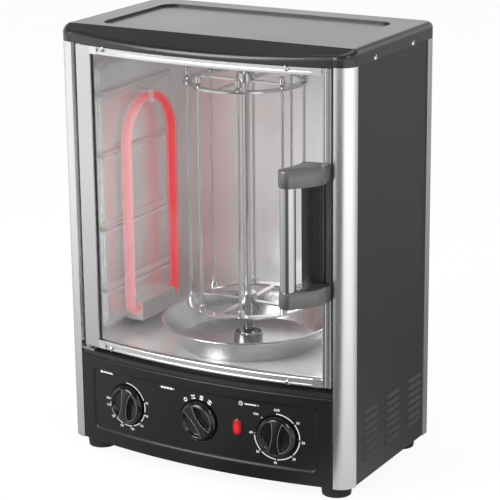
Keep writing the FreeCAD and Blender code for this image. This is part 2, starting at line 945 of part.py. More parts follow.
def make_control_panel():
    """Bowed fascia with a sunk field, a dished seat round each dial and the lamp's slot."""
    plate = bowed_plate("fascia", -bow_half, bow_half, 0, s.panel_wall, bottom_z, s.panel_height)
    frame_half = bow_half - s.frame_side
    cutters = [bowed_plate("fascia_field", -frame_half, frame_half, -CUT_MARGIN, s.frame_relief,
                           bottom_z + s.frame_low, s.frame_height)]
    for name, x, z, radius, _, _ in dial_places():
        cutters.append(face_rod(f"{name}_seat", x, z, radius + s.dial_margin, -s.dial_relief,
                                s.dial_relief + 2 * CUT_MARGIN))
        cutters.append(face_rod(f"{name}_hole", x, z, s.bush_radius + s.contact_gap,
                                -s.panel_wall - 2 * CUT_MARGIN, s.panel_wall + 3 * CUT_MARGIN))
    gap = 2 * s.contact_gap
    cutters.append(face_capsule("lamp_slot", timer_x - s.lamp_offset, bottom_z + s.lamp_z, s.lamp_width + gap,
                                s.lamp_length + gap, -s.panel_wall - 2 * CUT_MARGIN,
                                s.panel_wall + 3 * CUT_MARGIN))
    keep(cut("control_panel", plate, cutters), "control_panel")


def make_dials():
    """Each dial: a dished knob with a grip bar, its shaft, and the control behind the panel."""
    bodies = {"temperature": "thermostat", "function": "function_switch", "timer": "timer_clock"}
    for name, x, z, radius, can_radius, can_depth in dial_places():
        back = -s.panel_wall - bow_drop(can_radius) - s.contact_gap
        shaft_hole = s.dial_shaft + s.contact_gap
        web_z = s.knob_height - s.knob_dish
        rim_radius = radius - s.knob_taper
        knob = new_body(f"{name}_knob_body")
        sketch = new_sketch(knob, "XZ")
        draw(sketch, [
            (0, -s.knob_sink),
            (radius, -s.knob_sink),
            (radius, s.knob_skirt),
            (rim_radius, s.knob_height),
            (rim_radius - s.knob_rim, s.knob_height),
            (rim_radius - 2 * s.knob_rim, web_z),
            (0, web_z),
        ])
        turned = knob.newObject("PartDesign::Revolution", f"{name}_knob_turned")
        turned.Profile = sketch
        turned.ReferenceAxis = (sketch, ["V_Axis"])
        turned.Angle = 360
        bar = new_sketch(knob, "XY", web_z - s.knob_rim / 2)
        draw(bar, capsule(s.grip_width, 2 * (radius - s.grip_inset)))
        pad(knob, bar, s.grip_height)
        seat = face_rod(f"{name}_knob_bore", x, z, shaft_hole, -s.knob_sink - CUT_MARGIN,
                        s.knob_sink + CUT_MARGIN + s.dial_shaft_grip)
        keep(cut(f"{name}_knob", face_normal(knob, x, z), [seat]), f"{name}_knob")

        shaft = turn(f"{name}_shaft", [
            (0, -s.panel_wall - s.dial_shaft_tail),
            (s.dial_shaft, -s.panel_wall - s.dial_shaft_tail),
            (s.dial_shaft, s.dial_shaft_grip - s.contact_gap),
            (0, s.dial_shaft_grip - s.contact_gap),
        ])
        keep(face_normal(shaft, x, z), f"{name}_shaft")

        bore = s.dial_shaft + s.running_gap
        bore_end = -s.panel_wall - s.dial_shaft_tail - s.rest_gap
        can = turn(f"{bodies[name]}_can", [
            (bore, -s.dial_relief - 2 * s.rest_gap),
            (s.bush_radius, -s.dial_relief - 2 * s.rest_gap),
            (s.bush_radius, back),
            (can_radius, back),
            (can_radius, back - can_depth),
            (0, back - can_depth),
            (0, bore_end),
            (bore, bore_end),
        ])
        keep(face_normal(can, x, z), bodies[name])


def make_lamp():
    """Red pilot lens in its slot and the neon holder behind it."""
    back = -s.panel_wall - s.rest_gap
    lens = face_capsule("pilot_lens", timer_x - s.lamp_offset, bottom_z + s.lamp_z, s.lamp_width, s.lamp_length, back,
                        s.lamp_proud - back)
    keep(lens, "pilot_lens")
    border = 2 * s.lamp_holder_border
    holder = face_capsule("pilot_holder", timer_x - s.lamp_offset, bottom_z + s.lamp_z, s.lamp_width + border,
                          s.lamp_length + border, back - s.lamp_holder_depth, s.lamp_holder_depth)
    keep(holder, "pilot_holder")


def make_sill():
    """Black ledge between the control panel and the door."""
    sill = bowed_plate("sill_strip", -bow_half, bow_half, s.sill_setback, s.sill_setback + s.sill_depth,
                       panel_top_z, s.sill_height)
    keep(sill, "sill_strip")


# ---------------------------------------------------------------- cooking chamber

def make_chamber_floor():
    """Steel floor whose front and side edges turn down on to the sill."""
    low = floor_z - s.floor_flange
    outer = extrude("floor_outer", bow_fronted(wall_half, s.chamber_setback, chamber_back_y + s.sheet), low,
                    s.floor_flange)
    hollow = extrude("floor_hollow", bow_fronted(chamber_half, s.chamber_setback + s.sheet, chamber_back_y),
                     low - CUT_MARGIN, s.floor_flange - s.sheet + CUT_MARGIN)
    hole = rod("floor_hole", 0, axis_y, low, s.bush_outer + s.contact_gap, s.floor_flange + CUT_MARGIN)
    keep(cut("chamber_floor", outer, [hollow, hole]), "chamber_floor")


def make_chamber_ceiling():
    """Steel ceiling whose edges turn up to the cover."""
    outer = extrude("ceiling_outer", bow_fronted(wall_half, s.chamber_setback, chamber_back_y + s.sheet),
                    ceiling_z, seat_z - ceiling_z)
    hollow = extrude("ceiling_hollow",
                     bow_fronted(chamber_half, s.chamber_setback + s.sheet, chamber_back_y),
                     ceiling_z + s.sheet, seat_z - ceiling_z)
    hole = rod("ceiling_hole", 0, axis_y, ceiling_z - CUT_MARGIN, s.top_bush_outer + s.contact_gap,
               s.sheet + 2 * CUT_MARGIN)
    keep(cut("chamber_ceiling", outer, [hollow, hole]), "chamber_ceiling")


def pressing(name, sign, grow, front, rear):
    """The raised middle of a chamber wall: a wedge that narrows towards the inside."""
    item = doc.addObject("Part::Wedge", name)
    low = floor_z + s.press_low
    high = ceiling_z - s.press_high
    slope = s.press_slope
    near, far = (front, rear) if sign > 0 else (-rear, -front)
    bind(item, Xmin=near, Xmax=far, X2min=near + slope, X2max=far - slope,
         Ymin=0, Ymax=s.press_depth, Zmin=low, Zmax=high, Z2min=low + slope, Z2max=high - slope)
    return move(item, sign * (chamber_half + grow), 0, 0, FreeCAD.Rotation(Z_AXIS, 90 * sign))


def make_chamber_walls():
    """Side walls pressed inwards, each with four guides for a rack."""
    front = bow(wall_half, s.chamber_setback)
    press_front = front + s.press_front
    press_rear = chamber_back_y - s.press_rear
    for side, _, sign in mirrored(wall_half):
        low_x, high_x = sorted((sign * chamber_half, sign * wall_half), key=float)
        plate = block(f"wall_{side}_plate", (low_x, high_x), (front, chamber_back_y + s.sheet),
                      (floor_z, ceiling_z))
        raised = pressing(f"wall_{side}_raised", sign, 0, press_front, press_rear)
        guides = []
        tip = chamber_half - s.press_depth - s.guide_depth
        low, high = sorted((sign * tip, sign * chamber_half), key=float)
        for height in (s.guide_low, s.guide_second, s.guide_third, s.guide_high):
            z = floor_z + height
            guides.append(block(f"guide_{side}", (low, high),
                                (press_front + s.guide_end, press_rear - s.guide_end),
                                (z, z + s.guide_height)))
        hollow = pressing(f"wall_{side}_hollow", sign, s.sheet, press_front, press_rear)
        wall = cut(f"chamber_wall_{side}", fuse(f"wall_{side}_form", [plate, raised] + guides), [hollow])
        keep(wall, f"chamber_wall_{side}")


def make_chamber_back():
    back = block("chamber_back", (-chamber_half, chamber_half), (chamber_back_y, chamber_back_y + s.sheet),
                 (floor_z, ceiling_z))
    keep(back, "chamber_back")


def make_jambs():
    """Strips that close the space between the chamber walls and the front posts."""
    jambs = []
    for side, _, sign in mirrored(wall_half):
        jambs.append(extrude(f"jamb_{side}", [
            (sign * wall_half, bow(wall_half, s.chamber_setback)),
            (sign * bow_half, bow(bow_half, s.chamber_setback)),
            (sign * bow_half, front_post_y),
            (sign * wall_half, front_post_y),
        ], sill_top_z, seat_z - sill_top_z))
    keep(group("door_jambs", jambs), "door_jambs")


# ---------------------------------------------------------------- heater

def heater_places():
    """x of the tube, y of its two legs, z of its foot and of its upper bend's middle."""
    x = s.heater_inset - chamber_half
    front_leg = mid_y + s.heater_y - s.heater_span / 2
    rear_leg = mid_y + s.heater_y + s.heater_span / 2
    foot = floor_z + s.heater_low
    return x, front_leg, rear_leg, foot, ceiling_z - s.heater_drop - s.heater_span / 2


def box_ends():
    middle = mid_y + s.heater_y
    return middle - s.heater_box_length / 2, middle + s.heater_box_length / 2


def make_heater():
    """Tubular heater bent into an upright U whose feet turn in to the terminal box."""
    x, front_leg, rear_leg, foot, bend_z = heater_places()
    box_front, box_rear = box_ends()
    tail_front = box_front + s.insulator_width / 2
    tail_rear = box_rear - s.insulator_width / 2
    bend = s.heater_bend
    body = new_body("heater_element")
    path = new_sketch(body, "YZ", x)
    draw(path, [
        (tail_front, foot),
        (front_leg + bend, foot, bend, -1),
        (front_leg, foot + bend),
        (front_leg, bend_z, s.heater_span / 2, -1),
        (rear_leg, bend_z),
        (rear_leg, foot + bend, bend, -1),
        (rear_leg - bend, foot),
        (tail_rear, foot),
    ], closed=False)
    profile = new_sketch(body, "XZ", -tail_front)
    draw_circle(profile, x, foot, s.heater_tube)
    doc.recompute()
    pipe = body.newObject("PartDesign::AdditivePipe", "heater_tube")
    pipe.Profile = profile
    pipe.Spine = (path, [])
    keep(body, "heater_element")

    low = floor_z + s.heater_box_low
    wall_x = -(chamber_half - s.press_depth)
    face_x = wall_x + s.heater_box_width
    outer = block("heater_box_outer", (wall_x, face_x), (box_front, box_rear), (low, low + s.heater_box_height))
    hollow = block("heater_box_hollow", (wall_x - CUT_MARGIN, face_x - s.sheet),
                   (box_front + s.sheet, box_rear - s.sheet),
                   (low + s.sheet, low + s.heater_box_height - s.sheet))
    tube_hole = rod("heater_box_drill", x, box_front - CUT_MARGIN, foot, s.heater_tube + s.contact_gap,
                    s.heater_box_length + 2 * CUT_MARGIN, "y")
    terminal_box = cut("heater_box", outer, [hollow, tube_hole])

    blocks = []
    for near, far in ((box_front + s.sheet, box_front + s.sheet + s.insulator_width),
                      (box_rear - s.sheet - s.insulator_width, box_rear - s.sheet)):
        ceramic = block("ceramic", (wall_x, face_x - s.sheet), (near, far),
                        (foot - s.insulator_height / 2, foot + s.insulator_height / 2))
        reach = s.insulator_width / 2
        start = near - CUT_MARGIN if float(near) < float(mid_y + s.heater_y) else far - reach - s.sheet
        drill = rod("ceramic_drill", x, start, foot, s.heater_tube + s.contact_gap,
                    reach - s.sheet + CUT_MARGIN if float(near) < float(mid_y + s.heater_y)
                    else reach + s.sheet + CUT_MARGIN, "y")
        blocks.append(cut("heater_insulator", ceramic, [drill]))
    keep(group("heater_insulators", blocks), "heater_insulators")

    top = bend_z + s.heater_span / 2
    clip_y = mid_y + s.heater_y
    clip = block("clip_block", (wall_x, x + s.heater_tube + s.post_wall),
                 (clip_y - s.clip_width / 2, clip_y + s.clip_width / 2),
                 (top - s.clip_height / 2, top + s.clip_height / 2))
    groove = block("clip_groove", (x - s.heater_tube - s.contact_gap, x + s.heater_tube + s.contact_gap),
                   (clip_y - s.clip_width, clip_y + s.clip_width),
                   (top - s.clip_height, top + s.heater_tube + s.contact_gap))
    keep(group("heater_brackets", [terminal_box, cut("heater_clip", clip, [groove])]), "heater_brackets")


# ---------------------------------------------------------------- door

door_left = bow_half - s.door_hinge_gap
door_right = bow_half - s.door_latch_gap
handle_right = door_right + s.handle_overlap
handle_left = handle_right - s.handle_width
bar_x = handle_left + s.bar_inset
door_low_z = floor_z + s.door_lift
door_high_z = seat_z - s.door_top_gap
hinge_x = -(door_left - s.hinge_inset)
hinge_y = (bow(door_left - s.hinge_inset) + bow(door_left - s.hinge_inset, s.door_depth)) / 2
rail_left = s.left_stile - door_left
rail_right = door_right - s.right_stile
groove_front = s.glass_inset - 3 * s.contact_gap
groove_rear = s.glass_inset + s.glass + 3 * s.contact_gap


def glass_groove(name, left, right, low, high):
    return bowed_plate(name, left, right, groove_front, groove_rear, low, high - low)


def screw_heights():
    arm = s.arm_height / 2
    low = bottom_z + s.handle_low
    return (low + arm, low + s.handle_height - arm)


def handle_screw_line(name, z, radius, margin=0):
    """A cylinder along the handle screws' way, from inside the handle to behind the stile."""
    x = door_right - (s.right_stile - s.groove_depth) / 2
    tip_y = bow(x) - s.handle_screw_bite
    length = bow(x, s.door_depth) - tip_y + s.handle_screw_head
    return rod(name, x, tip_y - margin, z, radius, length + margin, "y")


def make_stiles():
    """Upright edges of the door, grooved for the glass; the left one turns on the hinge pins."""
    height = door_high_z - door_low_z
    left = bowed_plate("left_stile_bar", -door_left, rail_left, 0, s.door_depth, door_low_z, height)
    groove = glass_groove("left_stile_groove", rail_left - 2 * s.groove_depth, rail_left + CUT_MARGIN,
                          door_low_z + s.bottom_rail - s.groove_depth,
                          door_high_z - s.top_rail + s.groove_depth)
    bore = s.hinge_pin + s.running_gap
    depth = s.hinge_engage + CUT_MARGIN
    low_bore = rod("low_pin_bore", hinge_x, hinge_y, door_low_z - CUT_MARGIN, bore, depth + CUT_MARGIN)
    high_bore = rod("high_pin_bore", hinge_x, hinge_y, door_high_z - depth, bore, depth + CUT_MARGIN)
    keep(cut("door_stile_left", left, [groove, low_bore, high_bore]), "door_stile_left")

    right = bowed_plate("right_stile_bar", rail_right, door_right, 0, s.door_depth, door_low_z, height)
    groove = glass_groove("right_stile_groove", rail_right - CUT_MARGIN, rail_right + s.groove_depth,
                          door_low_z + s.bottom_rail - s.groove_depth,
                          door_high_z - s.top_rail + s.groove_depth)
    drills = [
        handle_screw_line("stile_drill", z, s.handle_screw + s.contact_gap) for z in screw_heights()
    ]
    keep(cut("door_stile_right", right, [groove] + drills), "door_stile_right")


def rivet_places():
    xs = (rail_left + s.rivet_inset - s.left_stile, rail_right - s.rivet_inset)
    return [(x, z) for x in xs for z in (door_low_z + s.rivet_edge, door_high_z - s.rivet_edge)]


def make_rails():
    """Bowed top and bottom rails, grooved for the glass, with two rivets each."""
    places = rivet_places()

    def drills():
        return [
            face_rod("rivet_drill", x, z, s.rivet_shank + s.contact_gap, -s.rivet_length,
                     s.rivet_length + CUT_MARGIN)
            for x, z in places
        ]

    top_low = door_high_z - s.top_rail
    top = bowed_plate("top_rail_bar", rail_left, rail_right, 0, s.door_depth, top_low, s.top_rail)
    groove = glass_groove("top_rail_groove", rail_left - CUT_MARGIN, rail_right + CUT_MARGIN,
                          top_low - CUT_MARGIN, top_low + s.groove_depth)
    keep(cut("door_rail_top", top, [groove] + drills()), "door_rail_top")

    bottom = bowed_plate("bottom_rail_bar", rail_left, rail_right, 0, s.door_depth, door_low_z, s.bottom_rail)
    groove = glass_groove("bottom_rail_groove", rail_left - CUT_MARGIN, rail_right + CUT_MARGIN,
                          door_low_z + s.bottom_rail - s.groove_depth,
                          door_low_z + s.bottom_rail + CUT_MARGIN)
    keep(cut("door_rail_bottom", bottom, [groove] + drills()), "door_rail_bottom")

    for x, z in places:
        rivet = turn("rail_rivet", [
            (0, -s.rivet_length),
            (s.rivet_shank, -s.rivet_length),
            (s.rivet_shank, 0),
            (s.rivet_head, 0),
            (s.rivet_head, s.rivet_dome / 4),
            (s.rivet_head / 2, s.rivet_dome),
            (0, s.rivet_dome),
        ])
        door_screws.append(face_normal(rivet, x, z))


def make_glass():
    """Bowed pane held in the grooves of the stiles and rails."""
    side = 3 * s.contact_gap
    left = rail_left - 2 * s.groove_depth + side
    right = rail_right + s.groove_depth - side
    low = door_low_z + s.bottom_rail - s.groove_depth + side
    high = door_high_z - s.top_rail + s.groove_depth - side
    pane = bowed_plate("door_glass", left, right, s.glass_inset, s.glass_inset + s.glass, low, high - low)
    keep(pane, "door_glass")


def make_hinges():
    """Upper hinge under the cover and lower hinge on the sill, each with its fixed pin."""
    half = s.hinge_plate_width / 2
    left = hinge_x - half
    right = hinge_x + half
    upper_plate = bowed_plate("upper_hinge_plate", -bow_half + s.contact_gap, right, s.cover_wall + s.rest_gap,
                              s.chamber_setback + half, seat_z, s.hinge_plate)
    upper_pin = rod("upper_pin", hinge_x, hinge_y, door_high_z - s.hinge_engage, s.hinge_pin,
                    seat_z - door_high_z + s.hinge_engage)
    keep(fuse("hinge_upper", [upper_plate, upper_pin]), "hinge_upper")
    lower_plate = bowed_plate("lower_hinge_plate", -bow_half, right, s.sill_setback,
                              s.chamber_setback - s.rest_gap, sill_top_z, s.hinge_plate)
    lower_pin = rod("lower_pin", hinge_x, hinge_y, sill_top_z + s.hinge_plate / 2, s.hinge_pin,
                    door_low_z - sill_top_z + s.hinge_engage - s.hinge_plate / 2)
    collar = rod("lower_collar", hinge_x, hinge_y, sill_top_z + s.hinge_plate / 2, s.hinge_collar,
                 door_low_z - sill_top_z - s.rest_gap - s.hinge_plate / 2)
    keep(fuse("hinge_lower", [lower_plate, lower_pin, collar]), "hinge_lower")


def make_catch():
    """Magnet on the ceiling's front flange and its strike plate on the door's top rail."""
    right = rail_right - s.strike_width / 2
    left = right - s.strike_width
    low = door_high_z - s.strike_height - s.contact_gap
    strike = bowed_plate("strike_plate", left, right, s.door_depth, s.door_depth + s.strike_wall, low,
                         s.strike_height)
    keep(strike, "strike_plate")
    magnet = bowed_plate("door_magnet", left, right, s.door_depth + s.strike_wall + s.rest_gap,
                         s.chamber_setback, low, s.strike_height)
    keep(magnet, "door_magnet")


def make_handle():
    """One moulding with a back plate and two swept arms, and the bright bar between the arms."""
    low = bottom_z + s.handle_low
    high = low + s.handle_height
    nose = s.bar_radius + s.nose_wall
    bar_y = mid_y - front_reach + nose
    arm = [
        (handle_left, bow(handle_left)),
        (bar_x - nose, bar_y, nose, 1),
        (bar_x + nose, bar_y, s.arm_bulge, 1),
        (handle_right, bow(handle_right), bow_radius, -1),
    ]
    pieces = [
        bowed_plate("handle_plate", handle_left, handle_right, -s.handle_wall, 0, low, s.handle_height),
        bowed_plate("handle_pad", handle_left, rail_right - s.rest_gap, -s.handle_wall / 2,
                    s.glass_inset - s.contact_gap, low, s.handle_height),
        extrude("handle_arm_low", arm, low, s.arm_height),
        extrude("handle_arm_high", arm, high - s.arm_height, s.arm_height),
    ]
    moulding = fuse("handle_moulding", pieces)
    bar_low = low + s.arm_height - s.bar_engage
    bar_length = s.handle_height - 2 * (s.arm_height - s.bar_engage)
    bores = [rod("bar_bore", bar_x, bar_y, bar_low - s.contact_gap, s.bar_radius + s.contact_gap,
                 bar_length + 2 * s.contact_gap)]
    for z in screw_heights():
        bores.append(handle_screw_line("handle_drill", z, s.handle_screw + s.contact_gap, CUT_MARGIN))
    keep(cut("handle_bracket", moulding, bores), "handle_bracket")
    keep(rod("handle_bar", bar_x, bar_y, bar_low, s.bar_radius, bar_length), "handle_bar")

    x = door_right - (s.right_stile - s.groove_depth) / 2
    seat_y = bow(x + s.handle_screw_head, s.door_depth) + s.contact_gap
    length = seat_y - bow(x) + s.handle_screw_bite
    for z in screw_heights():
        screw = turn("handle_screw", [
            (0, -s.handle_screw_head_height),
            (s.handle_screw_head, -s.handle_screw_head_height),
            (s.handle_screw_head, 0),
            (s.handle_screw, 0),
            (s.handle_screw, length),
            (0, length),
        ])
        door_screws.append(move(screw, x, seat_y, z, FreeCAD.Rotation(X_AXIS, 90)))


# ---------------------------------------------------------------- carousel, drive and dish

def make_drive():
    """Gear motor under the floor, its bracket and screws, and the slotted drive cup."""
    cup_top = floor_z + s.cup_rise
    cup_low = floor_z - s.floor_flange + 2
    motor_top = floor_z - s.motor_drop
    spindle_low = motor_top - s.motor_height / 2
    cup = turn("drive_cup_turned", [
        (0, spindle_low),
        (s.drive_shaft, spindle_low),
        (s.drive_shaft, cup_low),
        (s.cup_radius, cup_low),
        (s.cup_radius, cup_top),
        (s.rod_radius + s.rod_gap, cup_top),
        (s.rod_radius + s.rod_gap, cup_top - s.cup_depth),
        (0, cup_top - s.cup_depth),
    ])
    move(cup, 0, axis_y, 0)
    slot_half = s.pin_radius + s.rest_gap
    slot = block("drive_slot", (-s.cup_radius - CUT_MARGIN, s.cup_radius + CUT_MARGIN),
                 (axis_y - slot_half, axis_y + slot_half),
                 (floor_z + s.pin_rise - s.pin_radius - s.rest_gap, cup_top + CUT_MARGIN))
    keep(cut("drive_cup", cup, [slot]), "drive_cup")

    motor = turn("gear_motor_turned", [
        (0, motor_top - s.motor_height),
        (s.motor_radius, motor_top - s.motor_height),
        (s.motor_radius, motor_top),
        (s.motor_boss, motor_top),
        (s.motor_boss, motor_top + s.motor_boss_height),
        (s.drive_shaft + s.running_gap, motor_top + s.motor_boss_height),
        (s.drive_shaft + s.running_gap, spindle_low - s.rest_gap),
        (0, spindle_low - s.rest_gap),
    ])
    move(motor, 0, axis_y, 0)
    screw_spots = [x for _, x, _ in mirrored(s.motor_screw_x)]
    screw_low = motor_top + s.motor_plate - s.motor_screw_length
    motor_drills = [
        rod("motor_drill", x, axis_y, screw_low - CUT_MARGIN, s.motor_screw + s.contact_gap,
            s.motor_screw_length + 2 * CUT_MARGIN)
        for x in screw_spots
    ]
    keep(cut("gear_motor", motor, motor_drills), "gear_motor")

    under = floor_z - s.sheet
    half = s.motor_plate_half
    wall = s.motor_plate
    foot = half + s.motor_foot
    hat = extrude("motor_hat", [
        (-half, motor_top),
        (half, motor_top),
        (half, under - wall),
        (foot, under - wall),
        (foot, under),
        (half - wall, under),
        (half - wall, motor_top + wall),
        (-half + wall, motor_top + wall),
        (-half + wall, under),
        (-foot, under),
        (-foot, under - wall),
        (-half, under - wall),
    ], -axis_y - s.motor_plate_depth / 2, s.motor_plate_depth, "XZ")
    plate_drills = [rod("boss_hole", 0, axis_y, motor_top - CUT_MARGIN, s.motor_boss + s.contact_gap,
                        wall + 2 * CUT_MARGIN)]
    for x in screw_spots:
        plate_drills.append(rod("plate_drill", x, axis_y, motor_top - CUT_MARGIN,
                                s.motor_screw + s.contact_gap, wall + 2 * CUT_MARGIN))
    keep(cut("motor_bracket", hat, plate_drills), "motor_bracket")

    for x in screw_spots:
        top = motor_top + wall
        screw = turn("motor_screw", [
            (0, screw_low),
            (s.motor_screw, screw_low),
            (s.motor_screw, top),
            (s.motor_screw_head, top),
            (s.motor_screw_head, top + s.motor_screw),
            (0, top + s.motor_screw),
        ])
        shell_screws.append(move(screw, x, axis_y, 0))


def make_bushes():
    """Flanged bush in the floor and blind bush in the ceiling."""
    bore = s.cup_radius + s.running_gap
    low = floor_z - s.floor_flange + 1
    floor_bush = turn("floor_bush", [
        (bore, low),
        (s.bush_outer, low),
        (s.bush_outer, floor_z),
        (s.bush_flange, floor_z),
        (s.bush_flange, floor_z + s.bush_flange_wall),
        (bore, floor_z + s.bush_flange_wall),
    ])
    keep(move(floor_bush, 0, axis_y, 0), "floor_bush")
    top_bore = s.rod_radius + s.rod_gap
    bush_low = ceiling_z - s.top_bush_drop
    bush_high = ceiling_z + s.top_bush_rise
    top_bush = turn("ceiling_bush", [
        (top_bore, bush_low),
        (s.top_bush_outer, bush_low),
        (s.top_bush_outer, ceiling_z - s.bush_flange_wall),
        (s.bush_flange, ceiling_z - s.bush_flange_wall),
        (s.bush_flange, ceiling_z),
        (s.top_bush_outer, ceiling_z),
        (s.top_bush_outer, bush_high),
        (0, bush_high),
        (0, bush_high - s.post_wall),
        (top_bore, bush_high - s.post_wall),
    ])
    keep(move(top_bush, 0, axis_y, 0), "ceiling_bush")


def on_circle(radius):
    """Places round the carousel's axis, one for each skewer."""
    count = SIZES["skewer_count"]
    for index in range(count):
        angle = 2 * math.pi * (index + 0.5) / count
        yield radius * math.cos(angle), axis_y + radius * math.sin(angle)


def holder(name, low, drills):
    """A ring on four spokes round a hub."""
    ring_outer = s.skewer_circle + s.holder_ring
    ring_inner = s.skewer_circle - s.holder_ring
    ring = turn(f"{name}_ring", [
        (ring_inner, low),
        (ring_outer, low),
        (ring_outer, low + s.holder_wall),
        (ring_inner, low + s.holder_wall),
    ])
    move(ring, 0, axis_y, 0)
    spoke = s.holder_spoke / 2
    pieces = [
        ring,
        rod(f"{name}_hub", 0, axis_y, low, s.holder_hub, s.holder_hub_height),
        block(f"{name}_spoke_x", (-ring_inner - CUT_MARGIN, ring_inner + CUT_MARGIN),
              (axis_y - spoke, axis_y + spoke), (low, low + s.holder_wall)),
        block(f"{name}_spoke_y", (-spoke, spoke),
              (axis_y - ring_inner - CUT_MARGIN, axis_y + ring_inner + CUT_MARGIN), (low, low + s.holder_wall)),
    ]
    bore = rod(f"{name}_bore", 0, axis_y, low - CUT_MARGIN, s.rod_radius + s.contact_gap,
               s.holder_hub_height + 2 * CUT_MARGIN)
    return pieces, [bore] + drills


def make_carousel():
    """Removable carousel: centre rod with its cross pin, two spoked holders and the skewers."""
    rod_low = floor_z + s.cup_rise - s.cup_depth + s.rest_gap
    rod_high = ceiling_z - s.rod_top_drop
    pin_z = floor_z + s.pin_rise
    pin_start = -s.pin_length / 2
    pin_bore = rod("pin_bore", pin_start, axis_y, pin_z, s.pin_radius + s.contact_gap, s.pin_length, "x")
    shaft = rod("rod_blank", 0, axis_y, rod_low, s.rod_radius, rod_high - rod_low)
    keep(cut("center_rod", shaft, [pin_bore]), "center_rod")
    keep(rod("cross_pin", pin_start, axis_y, pin_z, s.pin_radius, s.pin_length, "x"), "cross_pin")

    low = floor_z + s.holder_rise
    socket_low = low + s.holder_wall / 2
    sockets = []
    pockets = []
    for x, y in on_circle(s.skewer_circle):
        sockets.append(rod("socket", x, y, low, s.socket_radius, s.socket_depth + s.holder_wall))
        pockets.append(rod("socket_pocket", x, y, socket_low, s.skewer_radius + s.contact_gap,
                           s.socket_depth + s.holder_wall + CUT_MARGIN))
    pieces, drills = holder("lower_holder", low, pockets)
    keep(cut("skewer_holder_lower", fuse("lower_holder_form", pieces + sockets), drills),
         "skewer_holder_lower")

    high = ceiling_z - s.top_holder_drop
    holes = [
        rod("skewer_hole", x, y, high - CUT_MARGIN, s.skewer_radius + s.contact_gap,
            s.holder_wall + 2 * CUT_MARGIN)
        for x, y in on_circle(s.skewer_circle)
    ]
    pieces, drills = holder("upper_holder", high, holes)
    keep(cut("skewer_holder_upper", fuse("upper_holder_form", pieces), drills), "skewer_holder_upper")

    skewers = []
    tip = socket_low + s.contact_gap
    skewer_top = ceiling_z - s.skewer_drop
    for x, y in on_circle(s.skewer_circle):
        skewer = turn("skewer", [
            (0, tip),
            (s.skewer_radius / 2, tip),
            (s.skewer_radius, tip + s.skewer_tip / 2),
            (s.skewer_radius, skewer_top - s.skewer_head_length),
            (s.skewer_head, skewer_top - s.skewer_head_length + s.skewer_head),
            (s.skewer_head, skewer_top - s.skewer_head / 2),
            (s.skewer_head / 2, skewer_top),
            (0, skewer_top),
        ])
        skewers.append(move(skewer, x, y, 0))
    keep(group("skewers", skewers), "skewers")


def make_dish():
    """Round drip dish with a sloped side, a rolled rim and a collar round the drive cup."""
    low = floor_z + s.rest_gap
    wall = s.dish_wall
    rim_z = low + s.dish_height - s.dish_rim
    rim_inner = s.dish_radius - 2 * s.dish_rim
    dish = turn("drip_dish", [
        (s.dish_collar, low),
        (s.dish_floor_radius, low),
        (rim_inner + wall, rim_z),
        (s.dish_radius, rim_z, s.dish_rim, 1),
        (rim_inner, rim_z),
        (s.dish_floor_radius - wall, low + wall),
        (s.dish_collar + wall, low + wall),
        (s.dish_collar + wall, low + s.dish_collar_height),
        (s.dish_collar, low + s.dish_collar_height),
    ])
    keep(move(dish, 0, axis_y, 0), "drip_dish")


# ---------------------------------------------------------------- back fittings

def make_back_fittings():
    """Mains gland, terminal block and the screws of the back panel."""
    z = bottom_z + s.gland_z
    gland = turn("cord_gland", [
        (s.gland_bore, -s.gland_inner),
        (s.gland_body, -s.gland_inner),
        (s.gland_body, 0),
        (s.gland_flange, 0),
        (s.gland_flange, s.gland_flange_wall),
        (s.gland_nose, s.gland_flange_wall),
        (s.gland_nose, s.gland_reach + s.post_wall),
        (s.gland_bore, s.gland_reach + s.post_wall),
    ])
    keep(move(gland, gland_x, back_panel_y, z, FreeCAD.Rotation(X_AXIS, -90)), "cord_gland")

    left = gland_x - s.terminal_width / 2
    rear = base_rear_y - s.gland_inner - s.terminal_depth / 2
    low = bottom_z + s.sheet
    terminal = block("terminal_block", (left, left + s.terminal_width), (rear - s.terminal_depth, rear),
                     (low, low + s.terminal_height))
    keep(terminal, "terminal_block")

    for x, height in back_screw_points():
        screw = turn("back_screw", [
            (0, -s.post_wall - s.sheet - s.back_screw_dome),
            (s.back_screw, -s.post_wall - s.sheet - s.back_screw_dome),
            (s.back_screw, 0),
            (s.back_screw_head, 0),
            (s.back_screw_head, s.back_screw_dome / 4),
            (s.back_screw_head / 2, s.back_screw_dome),
            (0, s.back_screw_dome),
        ])
        shell_screws.append(move(screw, x, rear_y, height, FreeCAD.Rotation(X_AXIS, -90)))


# ---------------------------------------------------------------- build, check and write

def build():
    make_front_posts()
    make_rear_posts()
    make_side_panels()
    make_back_panel()
    make_base_pan()
    make_feet()
    make_top_cover()
    make_cover_rails()
    make_control_panel()
    make_dials()
    make_lamp()
    make_sill()
    make_chamber_floor()
    make_chamber_ceiling()
    make_chamber_walls()
    make_chamber_back()
    make_jambs()
    make_heater()
    make_stiles()
    make_rails()
    make_glass()
    make_hinges()
    make_catch()
    make_handle()
    make_drive()
    make_bushes()
    make_carousel()
    make_dish()
    make_back_fittings()
    keep(group("shell_screws", shell_screws), "shell_screws")
    keep(group("door_screws", door_screws), "door_screws")
    doc.recompute()


def check():
    """Stop on any feature that failed and on any sub-part without a sound solid."""
    faults = []
    for item in doc.Objects:
        if "Invalid" in item.State or "Error" in item.State:
            faults.append(f"{item.Name}: {item.State}")
    for item in nodes:
        shape = item.Shape
        if shape.isNull() or not shape.isValid() or not shape.Solids:
            faults.append(f"{item.Label}: no sound solid")
    if faults:
        raise RuntimeError("\n".join(faults))


